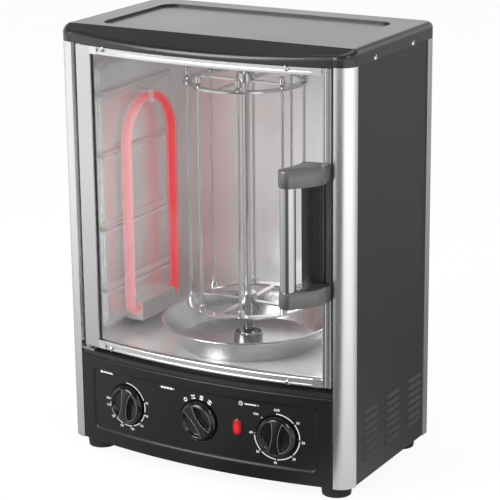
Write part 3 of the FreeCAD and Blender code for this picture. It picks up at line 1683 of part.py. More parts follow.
def write():
    os.makedirs("parts", exist_ok=True)
    for item in nodes:
        item.Shape.exportStep(os.path.join("parts", f"{item.Label}.step"))
        box = item.Shape.BoundBox
        print(f"{item.Label:22s} solids {len(item.Shape.Solids):2d}  volume {item.Shape.Volume:10.1f}  "
              f"x {box.XMin:7.1f} {box.XMax:7.1f}  y {box.YMin:7.1f} {box.YMax:7.1f}  "
              f"z {box.ZMin:6.1f} {box.ZMax:6.1f}")
    print(len(nodes), "nodes")


build()
check()
write()
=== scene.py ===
"""Looks for the upright skewer grill: procedural materials on its frame, and detailed pieces on its bodies."""

import math

import bmesh
import bpy
from mathutils import Matrix, Vector


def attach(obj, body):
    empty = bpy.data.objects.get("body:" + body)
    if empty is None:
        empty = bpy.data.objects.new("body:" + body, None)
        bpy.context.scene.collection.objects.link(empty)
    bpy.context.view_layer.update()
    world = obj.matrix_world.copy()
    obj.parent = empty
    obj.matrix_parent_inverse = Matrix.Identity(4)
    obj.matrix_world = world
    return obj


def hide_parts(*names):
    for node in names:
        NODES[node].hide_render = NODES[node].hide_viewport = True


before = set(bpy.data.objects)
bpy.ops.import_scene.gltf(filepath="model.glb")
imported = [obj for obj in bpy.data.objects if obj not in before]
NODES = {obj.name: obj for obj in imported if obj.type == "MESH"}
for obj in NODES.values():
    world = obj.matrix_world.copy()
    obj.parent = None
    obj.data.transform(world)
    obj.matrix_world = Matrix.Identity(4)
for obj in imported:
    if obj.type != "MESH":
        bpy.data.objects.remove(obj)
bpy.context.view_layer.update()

# The bowed front is an arc of this radius about a point on the middle plane, in metres.
BOW_RADIUS = 0.715118
BOW_CENTRE_Y = 0.61987


# ---------------------------------------------------------------- node trees

# Where a Mix node set to colours keeps its two colours and its result.
MIX_LOW, MIX_HIGH, MIX_RESULT = 6, 7, 2


def new_material(name):
    """A material with its node tree and its Principled shader."""
    material = bpy.data.materials.new(name)
    material.use_nodes = True
    return material, material.node_tree, material.node_tree.nodes["Principled BSDF"]


def fill(tree, item, sockets):
    """Sets a node's sockets, each to a value or linked to an output."""
    for key, value in sockets.items():
        if isinstance(value, bpy.types.NodeSocket):
            tree.links.new(value, item.inputs[key])
        else:
            item.inputs[key].default_value = value


def add(tree, kind, sockets=None, **settings):
    """A node with its settings and its sockets."""
    item = tree.nodes.new(kind)
    for key, value in settings.items():
        setattr(item, key, value)
    fill(tree, item, sockets or {})
    return item


def stretched(tree, scale=(1, 1, 1)):
    """Coordinates in the frame, stretched along the axes whose scale is small."""
    coords = add(tree, "ShaderNodeTexCoord")
    return add(tree, "ShaderNodeMapping", {"Vector": coords.outputs["Object"], "Scale": scale}).outputs[0]


def axes_of(tree, vector):
    """The node that splits a vector: its outputs are X, Y and Z."""
    return add(tree, "ShaderNodeSeparateXYZ", {0: vector})


def noise(tree, vector, scale, detail=3.0):
    """Fractal noise, 0 to 1."""
    return add(tree, "ShaderNodeTexNoise", {"Vector": vector, "Scale": scale, "Detail": detail}).outputs["Fac"]


def ramp(tree, value, low, high, to_low=0.0, to_high=1.0):
    """value, taken from low..high to to_low..to_high."""
    return add(tree, "ShaderNodeMapRange", {
        "Value": value, "From Min": low, "From Max": high, "To Min": to_low, "To Max": to_high,
    }).outputs[0]


def maths(tree, action, first, second=0.0):
    """The result of a Math node on one or two values."""
    return add(tree, "ShaderNodeMath", {0: first, 1: second}, operation=action).outputs[0]


def length_of(tree, first, second):
    """Distance from the origin in two axes."""
    squares = [maths(tree, "POWER", value, 2.0) for value in (first, second)]
    return maths(tree, "SQRT", maths(tree, "ADD", *squares))


def blend_colour(tree, factor, low, high):
    """The first colour where factor is 0, the second where it is 1; each is a triple or an output."""
    low, high = (value if isinstance(value, bpy.types.NodeSocket) else (*value, 1.0) for value in (low, high))
    item = add(tree, "ShaderNodeMix", {"Factor": factor, MIX_LOW: low, MIX_HIGH: high}, data_type="RGBA")
    return item.outputs[MIX_RESULT]


def edge_wear(tree, radius):
    """1 along sharp edges, 0 on flats."""
    rounded = add(tree, "ShaderNodeBevel", {"Radius": radius}, samples=4)
    true = add(tree, "ShaderNodeNewGeometry")
    normals = {0: rounded.outputs[0], 1: true.outputs["Normal"]}
    dot = add(tree, "ShaderNodeVectorMath", normals, operation="DOT_PRODUCT")
    return ramp(tree, dot.outputs["Value"], 0.985, 0.86)


def surface(name, colour, rough, metallic=0.0, cloud=0.08, cloud_scale=9.0, grain=(1, 1, 1), grain_scale=500.0,
            depth=0.00002, bump=0.3, rough_spread=0.07, wear=None, coat=0.0, coat_rough=0.1, specular=0.5):
    """A procedural finish: clouds in the colour, fine grain in roughness and bump, and wear along its edges.

    cloud is how far the colour swings, depth the grain's height in metres, wear a colour and its amount.
    """
    material, tree, shade = new_material(name)
    clouds = noise(tree, stretched(tree), cloud_scale, 5.0)
    fine = noise(tree, stretched(tree, grain), grain_scale, 4.0)
    low = tuple(c * (1 - cloud) for c in colour)
    high = tuple(min(1.0, c * (1 + cloud)) for c in colour)
    mixed = ramp(tree, maths(tree, "ADD", clouds, maths(tree, "MULTIPLY", fine, 0.6)), 0.55, 1.05)
    tone = blend_colour(tree, mixed, low, high)
    roughness = ramp(tree, maths(tree, "ADD", clouds, fine), 0.7, 1.3, rough - rough_spread, rough + rough_spread)
    if wear:
        wear_colour, wear_amount = wear
        patch = ramp(tree, noise(tree, stretched(tree), 60.0, 6.0), 0.46, 0.66)
        edge = maths(tree, "MULTIPLY", edge_wear(tree, 0.0007), maths(tree, "MULTIPLY", patch, wear_amount))
        tone = blend_colour(tree, edge, tone, wear_colour)
    relief = add(tree, "ShaderNodeBump", {"Height": fine, "Strength": bump, "Distance": depth})
    fill(tree, shade, {
        "Base Color": tone, "Roughness": roughness, "Normal": relief.outputs[0], "Metallic": metallic,
        "Specular IOR Level": specular, "Coat Weight": coat, "Coat Roughness": coat_rough,
    })
    return material


def dress(material, *nodes):
    """Gives CAD nodes their material."""
    for name in nodes:
        mesh = NODES[name].data
        mesh.materials.clear()
        mesh.materials.append(material)


# ---------------------------------------------------------------- materials

# Each finish: name, colour, roughness, metallic, cloud and its scale, grain and its scale, depth, bump, rough_spread.
EVERY_WAY, ALONG_X, ALONG_Y, ALONG_Z = (1, 1, 1), (0.03, 1, 1), (1, 0.03, 1), (1, 1, 0.03)
anodised = surface("anodised_posts", (0.88, 0.88, 0.89), 0.27, 1.0, 0.05, 5.0,
                   ALONG_Z, 1800.0, 0.00003, 0.30, 0.05)
# Darker aluminium for the door, also put on the rear posts as painted shade.
door_aluminium = surface("door_aluminium", (0.71, 0.71, 0.72), 0.28, 1.0, 0.05, 6.0,
                         ALONG_Z, 1800.0, 0.00003, 0.3, 0.05)
rail_aluminium = surface("rail_aluminium", (0.84, 0.84, 0.85), 0.30, 0.9, 0.04, 6.0,
                         ALONG_X, 1800.0, 0.00002, 0.12, 0.04)
dark_panel = surface("dark_panel", (0.029, 0.029, 0.030), 0.40, 0.0, 0.12, 7.0,
                     EVERY_WAY, 1400.0, 0.00004, 0.25, 0.05, wear=((0.16, 0.16, 0.16), 0.35))
fascia_black = surface("fascia_black", (0.010, 0.010, 0.011), 0.34, 0.0, 0.10, 8.0,
                       EVERY_WAY, 1500.0, 0.00004, 0.25, 0.05, wear=((0.14, 0.14, 0.14), 0.3))
cover_black = surface("cover_black", (0.020, 0.020, 0.021), 0.30, 0.0, 0.12, 6.0,
                      EVERY_WAY, 1300.0, 0.00004, 0.3, 0.06,
                      wear=((0.12, 0.12, 0.12), 0.25), coat=0.4, coat_rough=0.16)
sill_black = surface("sill_black", (0.025, 0.025, 0.026), 0.3, 0.0, 0.1, 9.0, EVERY_WAY, 1200.0)
chamber_steel = surface("chamber_steel", (0.87, 0.87, 0.87), 0.38, 0.68, 0.08, 11.0,
                        ALONG_Z, 900.0, 0.00003, 0.22, 0.07)
floor_steel = surface("floor_steel", (0.94, 0.94, 0.94), 0.24, 0.52, 0.04, 7.0,
                      ALONG_Y, 1500.0, 0.000004, 0.03, 0.02)
# Whiter steel for strips on the chamber walls' front facets: a painted highlight standing in for a reflection.
painted_highlight_steel = surface("painted_highlight_strip", (0.95, 0.95, 0.95), 0.24, 0.55, 0.04, 11.0,
                      ALONG_Z, 900.0, 0.00002, 0.1, 0.05)
zinc = surface("zinc_plate", (0.60, 0.61, 0.63), 0.38, 1.0, 0.16, 40.0, EVERY_WAY, 900.0, 0.00003, 0.3, 0.1)
chrome = surface("chrome_bar", (0.57, 0.57, 0.58), 0.09, 1.0, 0.04, 10.0,
                 ALONG_Z, 1500.0, 0.00001, 0.15, 0.04)
screw_chrome = surface("screw_chrome", (0.78, 0.78, 0.78), 0.14, 1.0, 0.05, 200.0,
                       EVERY_WAY, 3000.0, 0.00002, 0.2, 0.05)
gloss_black = surface("gloss_black", (0.010, 0.010, 0.011), 0.12, 0.0, 0.12, 30.0,
                      EVERY_WAY, 700.0, 0.00002, 0.1, 0.05,
                      wear=((0.06, 0.06, 0.06), 0.3), coat=0.5, coat_rough=0.05)
handle_black = surface("handle_black", (0.009, 0.009, 0.010), 0.32, 0.0, 0.12, 20.0,
                       EVERY_WAY, 900.0, 0.00003, 0.2, 0.06,
                       wear=((0.16, 0.16, 0.16), 0.4), coat=0.35, coat_rough=0.25, specular=0.6)
# A lighter, metallic copy of the handle's black for the fronts of its arms: a painted sheen.
arm_painted_sheen = surface("arm_painted_sheen", (0.15, 0.15, 0.152), 0.30, 0.6, 0.10, 20.0,
                    EVERY_WAY, 900.0, 0.00003, 0.2, 0.06,
                    wear=((0.20, 0.20, 0.20), 0.3), coat=0.5, coat_rough=0.2, specular=0.8)
# Lighter metal for beads along the knobs' grip edges: painted highlights standing in for reflections on rounded
# edges.
painted_highlight_line = surface("painted_highlight_line", (0.42, 0.42, 0.42), 0.22, 0.7, 0.15, 200.0,
                    EVERY_WAY, 2000.0, 0.00001, 0.1, 0.05)
dark_plastic = surface("dark_plastic", (0.045, 0.045, 0.045), 0.55, 0.0, 0.12, 25.0,
                       EVERY_WAY, 900.0, 0.00006, 0.4, 0.08)
control_steel = surface("control_steel", (0.50, 0.50, 0.50), 0.34, 1.0, 0.12, 20.0, EVERY_WAY, 900.0)
ceramic = surface("ceramic", (0.80, 0.78, 0.72), 0.32, 0.0, 0.06, 60.0, EVERY_WAY, 800.0, 0.00004, 0.3, 0.08)
magnet_grey = surface("magnet_grey", (0.10, 0.10, 0.10), 0.6, 0.0, 0.15, 60.0, EVERY_WAY, 900.0)
stainless = surface("stainless", (0.76, 0.76, 0.76), 0.2, 1.0, 0.08, 15.0,
                    ALONG_Z, 1200.0, 0.00002, 0.2, 0.07)
bronze = surface("grey_bronze", (0.42, 0.40, 0.37), 0.36, 1.0, 0.12, 60.0, EVERY_WAY, 900.0)
dish_steel = surface("dish_steel", (0.65, 0.65, 0.66), 0.25, 1.0, 0.08, 12.0,
                     EVERY_WAY, 700.0, 0.00001, 0.15, 0.05)
rubber = surface("rubber", (0.022, 0.022, 0.022), 0.66, 0.0, 0.15, 30.0, EVERY_WAY, 900.0, 0.00008, 0.5, 0.08)

# The chamber floor is bare steel above its front flange, which is black.
FLANGE_TOP, FLANGE_BLEND, FLANGE_BLACK = 0.1230, 0.0004, (0.015, 0.015, 0.016)
tree = floor_steel.node_tree
shade = tree.nodes["Principled BSDF"]
above = ramp(tree, axes_of(tree, stretched(tree)).outputs["Z"], FLANGE_TOP, FLANGE_TOP + FLANGE_BLEND)
steel_tone = shade.inputs["Base Color"].links[0].from_socket
steel_metallic = shade.inputs["Metallic"].default_value
fill(tree, shade, {
    "Base Color": blend_colour(tree, above, FLANGE_BLACK, steel_tone),
    "Metallic": ramp(tree, above, 0.0, 1.0, 0.0, steel_metallic),
})

GLASS_FACE_ALPHA, GLASS_EDGE_ALPHA, SMUDGE_ALPHA = 0.01, 0.42, 0.02
glass, tree, shade = new_material("clear_glass")
rim = add(tree, "ShaderNodeLayerWeight", {"Blend": 0.25})
smudge = ramp(tree, noise(tree, stretched(tree), 22.0, 6.0), 0.45, 0.75, 0.0, SMUDGE_ALPHA)
clear = ramp(tree, rim.outputs["Fresnel"], 0.0, 1.0, GLASS_FACE_ALPHA, GLASS_EDGE_ALPHA)
fill(tree, shade, {
    "Base Color": blend_colour(tree, rim.outputs["Facing"], (0.42, 0.44, 0.435), (0.40, 0.46, 0.44)),
    "Alpha": maths(tree, "ADD", clear, smudge),
    "Roughness": ramp(tree, smudge, 0.0, SMUDGE_ALPHA, 0.02, 0.12),
    "Specular IOR Level": 0.9,
})

# The pilot lamp's lens, in millimetres: bright in the middle, with a dark rim.
LAMP_X, LAMP_Z, LAMP_WIDTH, LAMP_LENGTH, LAMP_PROUD, LAMP_ROUND = 50.0, 68.5, 11.0, 19.5, 2.2, 3.4
GLOW_HALF_WIDTH, GLOW_HALF_LENGTH = 5.6, 10.0
lamp, tree, shade = new_material("lamp_red")
cells = add(tree, "ShaderNodeTexVoronoi", {"Vector": stretched(tree), "Scale": 700.0})
place = axes_of(tree, stretched(tree))
from_x = maths(tree, "SUBTRACT", place.outputs["X"], LAMP_X / 1000)
from_z = maths(tree, "SUBTRACT", place.outputs["Z"], LAMP_Z / 1000)
across = maths(tree, "DIVIDE", from_x, GLOW_HALF_WIDTH / 1000)
along = maths(tree, "DIVIDE", from_z, GLOW_HALF_LENGTH / 1000)
rim = ramp(tree, length_of(tree, across, along), 0.35, 0.95)
facets = ramp(tree, cells.outputs["Distance"], 0.0, 0.8)
core = blend_colour(tree, facets, (0.38, 0.004, 0.008), (0.64, 0.012, 0.018))
fill(tree, shade, {
    "Base Color": blend_colour(tree, rim, core, (0.10, 0.001, 0.004)),
    "Emission Color": blend_colour(tree, rim, (1.0, 0.03, 0.04), (0.10, 0.0, 0.004)),
    "Emission Strength": 0.24, "Roughness": 0.12, "Coat Weight": 0.5,
})


def rear_leg(tree):
    """0 at the heater's front leg, which looks pale, and 1 at its rear leg, which looks deep red."""
    return ramp(tree, axes_of(tree, stretched(tree)).outputs["Y"], -0.012, 0.045)


heater, tree, shade = new_material("glowing_sheath")
bands = noise(tree, stretched(tree), 14.0, 3.0)
rim = add(tree, "ShaderNodeLayerWeight", {"Blend": 0.4})
rearward = rear_leg(tree)
warm = blend_colour(tree, bands, (0.50, 0.18, 0.20), (0.66, 0.28, 0.30))
# Where the tube faces the viewer it glows paler than at its sides: a painted highlight.
pale = blend_colour(tree, rim.outputs["Facing"], (0.55, 0.16, 0.19), (0.90, 0.36, 0.38))
fill(tree, shade, {
    "Base Color": blend_colour(tree, rearward, warm, (0.60, 0.06, 0.07)),
    "Emission Color": blend_colour(tree, rearward, pale, (0.85, 0.02, 0.05)),
    "Emission Strength": 0.24, "Roughness": ramp(tree, bands, 0.3, 0.7, 0.3, 0.5),
})

halo, tree, shade = new_material("heater_halo")
rearward = rear_leg(tree)
drift = noise(tree, stretched(tree), 20.0, 3.0)
thin = ramp(tree, add(tree, "ShaderNodeLayerWeight", {"Blend": 0.5}).outputs["Facing"], 0.10, 0.90, 0.50, 0.04)
fill(tree, shade, {
    "Base Color": blend_colour(tree, rearward, (0.95, 0.45, 0.46), (0.75, 0.08, 0.09)),
    "Alpha": maths(tree, "MULTIPLY", thin, ramp(tree, drift, 0.3, 0.7, 0.85, 1.0)),
    "Emission Color": blend_colour(tree, rearward, (1.0, 0.56, 0.58), (1.0, 0.05, 0.08)),
    "Emission Strength": 0.34, "Roughness": 0.5, "Specular IOR Level": 0.1,
})

dress(anodised, "front_post_left", "front_post_right")
dress(dark_panel, "side_panel_left", "side_panel_right", "back_panel", "base_pan")
dress(fascia_black, "control_panel")
dress(cover_black, "top_cover", "top_plate")
dress(sill_black, "sill_strip", "door_jambs")
dress(chamber_steel, "chamber_wall_left", "chamber_wall_right", "chamber_back", "heater_brackets")
dress(floor_steel, "chamber_floor", "chamber_ceiling")
dress(zinc, "cover_rails", "hinge_upper", "hinge_lower", "motor_bracket", "strike_plate")
dress(chrome, "handle_bar")
dress(screw_chrome, "door_screws", "shell_screws")
# The rear posts take the darker door aluminium, not the front posts' finish: painted shade on them.
dress(door_aluminium, "door_stile_left", "door_stile_right", "rear_post_left", "rear_post_right")
dress(rail_aluminium, "door_rail_top", "door_rail_bottom")
dress(glass, "door_glass")
dress(gloss_black, "temperature_knob", "function_knob", "timer_knob")
dress(handle_black, "handle_bracket")
dress(lamp, "pilot_lens")
dress(dark_plastic, "pilot_holder", "cord_gland", "terminal_block", "function_switch", "timer_clock")
dress(control_steel, "thermostat", "gear_motor", "temperature_shaft", "function_shaft", "timer_shaft")
dress(heater, "heater_element")
dress(ceramic, "heater_insulators")
dress(magnet_grey, "door_magnet")
dress(stainless, "drive_cup", "center_rod", "cross_pin", "skewer_holder_lower", "skewer_holder_upper", "skewers")
dress(bronze, "floor_bush", "ceiling_bush")
dress(dish_steel, "drip_dish")
dress(rubber, "feet")


# ---------------------------------------------------------------- mesh tools, all in millimetres

def bow(x, inset=0.0):
    """Y of the bowed front at x, or of a surface that far behind it."""
    return BOW_CENTRE_Y * 1000 - math.sqrt((BOW_RADIUS * 1000 - inset) ** 2 - x * x)


def on_face(x, shift, z, out):
    """A point of the bowed front: shift along the arc from x, at height z, that far out of it."""
    angle = math.asin(x / (BOW_RADIUS * 1000)) + shift / (BOW_RADIUS * 1000)
    radius = BOW_RADIUS * 1000 + out
    return radius * math.sin(angle), BOW_CENTRE_Y * 1000 - radius * math.cos(angle), z


def smooth(value):
    """0 below 0, 1 above 1, and a soft step between."""
    value = max(0.0, min(1.0, value))
    return value * value * (3 - 2 * value)


def piece(name, points, faces, material, body, stands_for=(), sharp=35):
    """A mesh object from points in millimetres, riding on its body."""
    mesh = bpy.data.meshes.new(name)
    mesh.from_pydata([(x / 1000, y / 1000, z / 1000) for x, y, z in points], [], faces)
    mesh.validate()
    form = bmesh.new()
    form.from_mesh(mesh)
    bmesh.ops.remove_doubles(form, verts=form.verts, dist=1e-6)
    bmesh.ops.recalc_face_normals(form, faces=form.faces)
    form.to_mesh(mesh)
    form.free()
    mesh.shade_smooth()
    mesh.set_sharp_from_angle(angle=math.radians(sharp))
    mesh.materials.append(material)
    item = bpy.data.objects.new(name, mesh)
    bpy.context.scene.collection.objects.link(item)
    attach(item, body)
    if stands_for:
        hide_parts(*stands_for)
    return item


def quads(rows, columns, closed=False, offset=0):
    """Faces of a grid of points stored row by row."""
    faces = []
    for i in range(rows - 1):
        for j in range(columns if closed else columns - 1):
            k = (j + 1) % columns
            here, above = offset + i * columns, offset + (i + 1) * columns
            faces.append((here + j, here + k, above + k, above + j))
    return faces


def merged(parts):
    """Points and faces of several parts as one."""
    points, faces = [], []
    for part_points, part_faces in parts:
        offset = len(points)
        points += part_points
        faces += [tuple(offset + v for v in face) for face in part_faces]
    return points, faces


def circle(steps):
    """Angles round a circle."""
    return [2 * math.pi * k / steps for k in range(steps)]


def loft(rings):
    """Points and faces through closed rings of equal length, capped at both ends."""
    count = len(rings[0])
    points = [point for ring in rings for point in ring]
    faces = quads(len(rings), count, closed=True)
    faces.append(tuple(range(count)))
    faces.append(tuple(range((len(rings) - 1) * count, len(rings) * count)))
    return points, faces


def rounded(corners, radii, steps=4):
    """A polygon with its corners rounded; radii gives each corner's radius."""
    outline = []
    count = len(corners)
    for i, corner in enumerate(corners):
        radius = radii[i] if isinstance(radii, (list, tuple)) else radii
        here = Vector(corner)
        before = Vector(corners[i - 1]) - here
        after = Vector(corners[(i + 1) % count]) - here
        if radius <= 0:
            outline.append(tuple(here))
            continue
        start = here + before.normalized() * radius
        end = here + after.normalized() * radius
        for k in range(steps + 1):
            f = k / steps
            point = start * (1 - f) ** 2 + here * 2 * f * (1 - f) + end * f * f
            outline.append(tuple(point))
    return outline


def tube(path, radius, up, sides=10, closed=False):
    """Points and faces of a round bar along a path; up is a direction never along it."""
    path = [Vector(p) for p in path]
    count = len(path)
    rings = []
    for i, here in enumerate(path):
        ahead = path[(i + 1) % count] if closed or i < count - 1 else here
        behind = path[i - 1] if closed or i > 0 else here
        along = (ahead - behind).normalized()
        side = along.cross(Vector(up)).normalized()
        other = along.cross(side)
        rings.append([tuple(here + side * radius * math.cos(a) + other * radius * math.sin(a))
                      for a in circle(sides)])
    if closed:
        return [p for ring in rings + rings[:1] for p in ring], quads(count + 1, sides, closed=True)
    return loft(rings)


def bow_sweep(outline, left, right, steps=64):
    """Rings of (inset, z) outlines swept along the bow from x left to x right."""
    rings = []
    for k in range(steps + 1):
        x = left + (right - left) * k / steps
        rings.append([(x, bow(x, inset), z) for inset, z in outline])
    return rings


# ---------------------------------------------------------------- fascia

FASCIA_HALF, FASCIA_LOW, FASCIA_HIGH, FASCIA_REAR, FASCIA_LIP = 155.0, 14.0, 113.0, 4.4, 1.6
FRAME_HALF_X, FRAME_LOW, FRAME_HIGH, FRAME_CORNER, FRAME_DEPTH, FRAME_SLOPE = 139.0, 29.0, 102.0, 7.0, 1.3, 3.1
DIALS = {
    "temperature": (-90.5, 67.0, 21.5),
    "function": (3.2, 67.5, 21.5),
    "timer": (94.5, 64.7, 21.5),
}
WELL_MARGIN, WELL_DEPTH, WELL_SLOPE, SHAFT_HOLE = 1.6, 1.2, 0.9, 4.7
GRID_STEP = 0.8


def box_distance(x, z, half_x, low, high, corner):
    """Signed distance to a rectangle with rounded corners, below zero inside."""
    dx = abs(x) - half_x + corner
    dz = abs(z - (low + high) / 2) - (high - low) / 2 + corner
    outside = math.hypot(max(dx, 0.0), max(dz, 0.0))
    return outside + min(max(dx, dz), 0.0) - corner


def fascia_inset(x, z):
    """How far the fascia's face lies behind the bow at a point."""
    edge = min(FASCIA_HALF - abs(x), z - FASCIA_LOW, FASCIA_HIGH - z)
    inset = 0.0
    if edge < FASCIA_LIP:
        inset = FASCIA_LIP - math.sqrt(max(0.0, FASCIA_LIP * FASCIA_LIP - (FASCIA_LIP - edge) ** 2))
    inside = -box_distance(x, z, FRAME_HALF_X, FRAME_LOW, FRAME_HIGH, FRAME_CORNER)
    inset += FRAME_DEPTH * smooth(inside / FRAME_SLOPE)
    for dial_x, dial_z, radius in DIALS.values():
        gap = radius + WELL_MARGIN - math.hypot((x - dial_x) * 1.01, z - dial_z)
        if gap > -0.5:
            inset += WELL_DEPTH * smooth(gap / WELL_SLOPE)
    return inset


def make_fascia():
    """The bowed panel: a fine front, a plain rear and a rim of faces between them, open round each shaft."""
    columns = round(2 * FASCIA_HALF / GRID_STEP) + 1
    rows = round((FASCIA_HIGH - FASCIA_LOW) / GRID_STEP) + 1
    front, rear = [], []
    for j in range(rows):
        z = FASCIA_LOW + (FASCIA_HIGH - FASCIA_LOW) * j / (rows - 1)
        for i in range(columns):
            x = -FASCIA_HALF + 2 * FASCIA_HALF * i / (columns - 1)
            front.append((x, bow(x, fascia_inset(x, z)), z))
    faces = quads(rows, columns)
    back_columns = 65
    for z in (FASCIA_LOW, FASCIA_HIGH):
        for i in range(back_columns):
            x = -FASCIA_HALF + 2 * FASCIA_HALF * i / (back_columns - 1)
            rear.append((x, bow(x, FASCIA_REAR), z))
    start = len(front)
    faces += quads(2, back_columns, offset=start)
    rim_low = list(range(columns))
    rim_high = list(range((rows - 1) * columns, rows * columns))
    faces.append(tuple(rim_low + [start + i for i in reversed(range(back_columns))]))
    faces.append(tuple(rim_high + [start + back_columns + i for i in reversed(range(back_columns))]))
    for column, back_column in ((0, 0), (columns - 1, back_columns - 1)):
        side = [j * columns + column for j in range(rows)]
        faces.append(tuple(side + [start + back_columns + back_column, start + back_column]))
    points = front + rear
    kept = []
    for face in faces:
        middle = sum((Vector(points[v]) for v in face), Vector()) / len(face)
        near = any(math.hypot(middle.x - x, middle.z - z) < SHAFT_HOLE for x, z, _ in DIALS.values())
        if not (len(face) == 4 and near):
            kept.append(face)
    piece("fascia", points, kept, fascia_black, "shell", ("control_panel",), 50)


make_fascia()


# ---------------------------------------------------------------- dials

KNOB_RINGS, KNOB_STEPS, EDGE_STEPS, EDGE_RADIUS = 64, 168, 32, 0.30
KNOB_SINK, KNOB_RIM_HEIGHT, KNOB_RIM_IN, SCOOP_DEPTH, GRIP_RISE = -0.5, 4.3, 3.2, 4.4, 1.5
GRIP_TURNS = {"temperature": 10.0, "function": -38.0, "timer": 6.0}


def grip_half(v, rim):
    """Half the grip's width, waisted at the middle."""
    return 3.3 + 3.6 * (abs(v) / rim) ** 2


def knob_height(u, v, radius):
    """Height of the knob's face: a waisted grip bar between two scooped hollows inside the rim."""
    rim = radius - KNOB_RIM_IN
    far = math.hypot(u, v)
    half = grip_half(v, rim)
    wall = smooth((half + 0.6 - abs(u)) / 1.2)
    hollow = smooth((rim - 0.5 - far) / 3.2) * (0.72 + 0.28 * smooth((rim - far) / (0.6 * rim)))
    crest = KNOB_RIM_HEIGHT + GRIP_RISE * (1 - (v / rim) ** 2) - 0.5 * (u / half) ** 2 * wall
    scoop = KNOB_RIM_HEIGHT - (SCOOP_DEPTH - 0.6) * hollow
    return scoop * (1 - wall) + crest * wall


def make_knob(label, x, z, radius):
    """A dial's knob, with a painted highlight line along each edge of its grip; the right one also rings its hollow.
    """
    turn = math.radians(GRIP_TURNS[label])
    side = [(SHAFT_HOLE - 1.6, KNOB_SINK), (radius - 0.4, KNOB_SINK), (radius, KNOB_SINK + 0.4), (radius, 0.7),
            (radius - 0.25, 1.3), (radius - 1.0, 2.3), (radius - 2.0, 3.4), (radius - 2.6, 3.95), (radius - 3.0, 4.2)]
    rings = [[(r * math.cos(a), r * math.sin(a), h) for a in circle(KNOB_STEPS)] for r, h in side]
    top = radius - KNOB_RIM_IN
    for i in range(KNOB_RINGS):
        r = top * (1 - i / KNOB_RINGS)
        ring = []
        edge = smooth((top - r) / 0.9)
        for a in circle(KNOB_STEPS):
            u, v = r * math.cos(a), r * math.sin(a)
            ring.append((u, v, KNOB_RIM_HEIGHT * (1 - edge) + knob_height(u, v, radius) * edge))
        rings.append(ring)
    faces = quads(len(rings), KNOB_STEPS, closed=True)
    faces.append(tuple((len(rings) - 1) * KNOB_STEPS + k for k in range(KNOB_STEPS)))
    lean = math.asin(x / (BOW_RADIUS * 1000))

    def placed(u, v, h):
        """A point of the knob's own axes, turned and leaned onto the panel."""
        across = u * math.cos(turn) + v * math.sin(turn)
        rise = -u * math.sin(turn) + v * math.cos(turn)
        return (x + across * math.cos(lean) + h * math.sin(lean),
                bow(x) + across * math.sin(lean) - h * math.cos(lean), z + rise)

    points = [placed(u, v, h) for ring in rings for u, v, h in ring]
    body = f"{label}_dial"
    piece(body, points, faces, gloss_black, body, (f"{label}_knob",), 48)
    for side_name, side, closed in (("right", 1, True), ("left", -1, False)):
        path, reach = [], top - 0.9
        for k in range(EDGE_STEPS + 1):
            v = reach * (1 - 2 * k / EDGE_STEPS) * 0.985
            u = grip_half(v, top)
            path.append((side * u, v, knob_height(u - 0.55, v, radius) - 0.05))
        if closed:
            low, high = math.atan2(path[-1][1], path[-1][0]), math.atan2(path[0][1], path[0][0])
            for k in range(1, EDGE_STEPS):
                a = low + (high - low) * k / EDGE_STEPS
                path.append((reach * math.cos(a), reach * math.sin(a), KNOB_RIM_HEIGHT - 0.1))
        # Each line is a thin bead in the lighter metal: a painted highlight.
        line, line_faces = tube(path, EDGE_RADIUS, (0, 0, 1), 8, closed)
        line = [placed(*point) for point in line]
        piece(f"{body}_{side_name}_edge", line, line_faces, painted_highlight_line, body, (), 60)


for dial_name, (dial_x, dial_z, dial_radius) in DIALS.items():
    make_knob(dial_name, dial_x, dial_z, dial_radius)


# ---------------------------------------------------------------- pilot lamp

def lamp_ring(inset, out, steps=16):
    """A capsule on the fascia's face, drawn in by inset and standing out by out."""
    half = LAMP_WIDTH / 2 - inset
    straight = (LAMP_LENGTH - LAMP_WIDTH) / 2
    ring = []
    for centre, start in ((straight, 0.0), (-straight, math.pi)):
        for k in range(steps + 1):
            a = start + math.pi * k / steps
            z = LAMP_Z + centre + half * math.sin(a)
            ring.append(on_face(LAMP_X, half * math.cos(a), z, out - FRAME_DEPTH))
    return ring


LAMP_SUNK, LAMP_WALL, CROWN_STEPS = -0.8, 0.5, 10
lamp_rings = [lamp_ring(0.0, LAMP_SUNK), lamp_ring(0.0, LAMP_WALL)]
for k in range(1, CROWN_STEPS + 1):
    f = k / CROWN_STEPS
    lamp_rings.append(lamp_ring(LAMP_ROUND * f, LAMP_WALL + LAMP_PROUD * math.sqrt(1 - (1 - f) ** 2)))
points, faces = loft(lamp_rings)
piece("lamp_lens", points, faces, lamp, "shell", ("pilot_lens",), 50)


# ---------------------------------------------------------------- printed marks

print_white = surface("print_white", (0.80, 0.80, 0.79), 0.5, 0.0, 0.06, 300.0, EVERY_WAY, 2500.0, 0.00002, 0.2)
PRINT_OUT = 0.06
marks = {"points": [], "faces": []}


def add_mark(outline):
    """A printed patch whose outline is (x, shift, z) on the sunk face inside the frame."""
    start = len(marks["points"])
    marks["points"] += [on_face(x, shift, z, PRINT_OUT - FRAME_DEPTH) for x, shift, z in outline]
    marks["faces"].append(tuple(range(start, start + len(outline))))


def arc_band(x, z, radius, width, start, end, steps=24):
    """A printed arc about a dial; angles in degrees clockwise from the top."""
    for k in range(steps):
        quad = []
        for f, r in ((k, radius), (k + 1, radius), (k + 1, radius + width), (k, radius + width)):
            a = math.radians(start + (end - start) * f / steps)
            quad.append((x, r * math.sin(a), z + r * math.cos(a)))
        add_mark(quad)


def stroke(x, z, points, width):
    """A printed line of that width through points about (x, z)."""
    for (ax, az), (bx, bz) in zip(points, points[1:]):
        along = Vector((bx - ax, bz - az))
        side = Vector((-along.y, along.x)).normalized() * width / 2
        quad = ((ax + side.x, az + side.y), (bx + side.x, bz + side.y),
                (bx - side.x, bz - side.y), (ax - side.x, az - side.y))
        add_mark([(x, u, z + v) for u, v in quad])


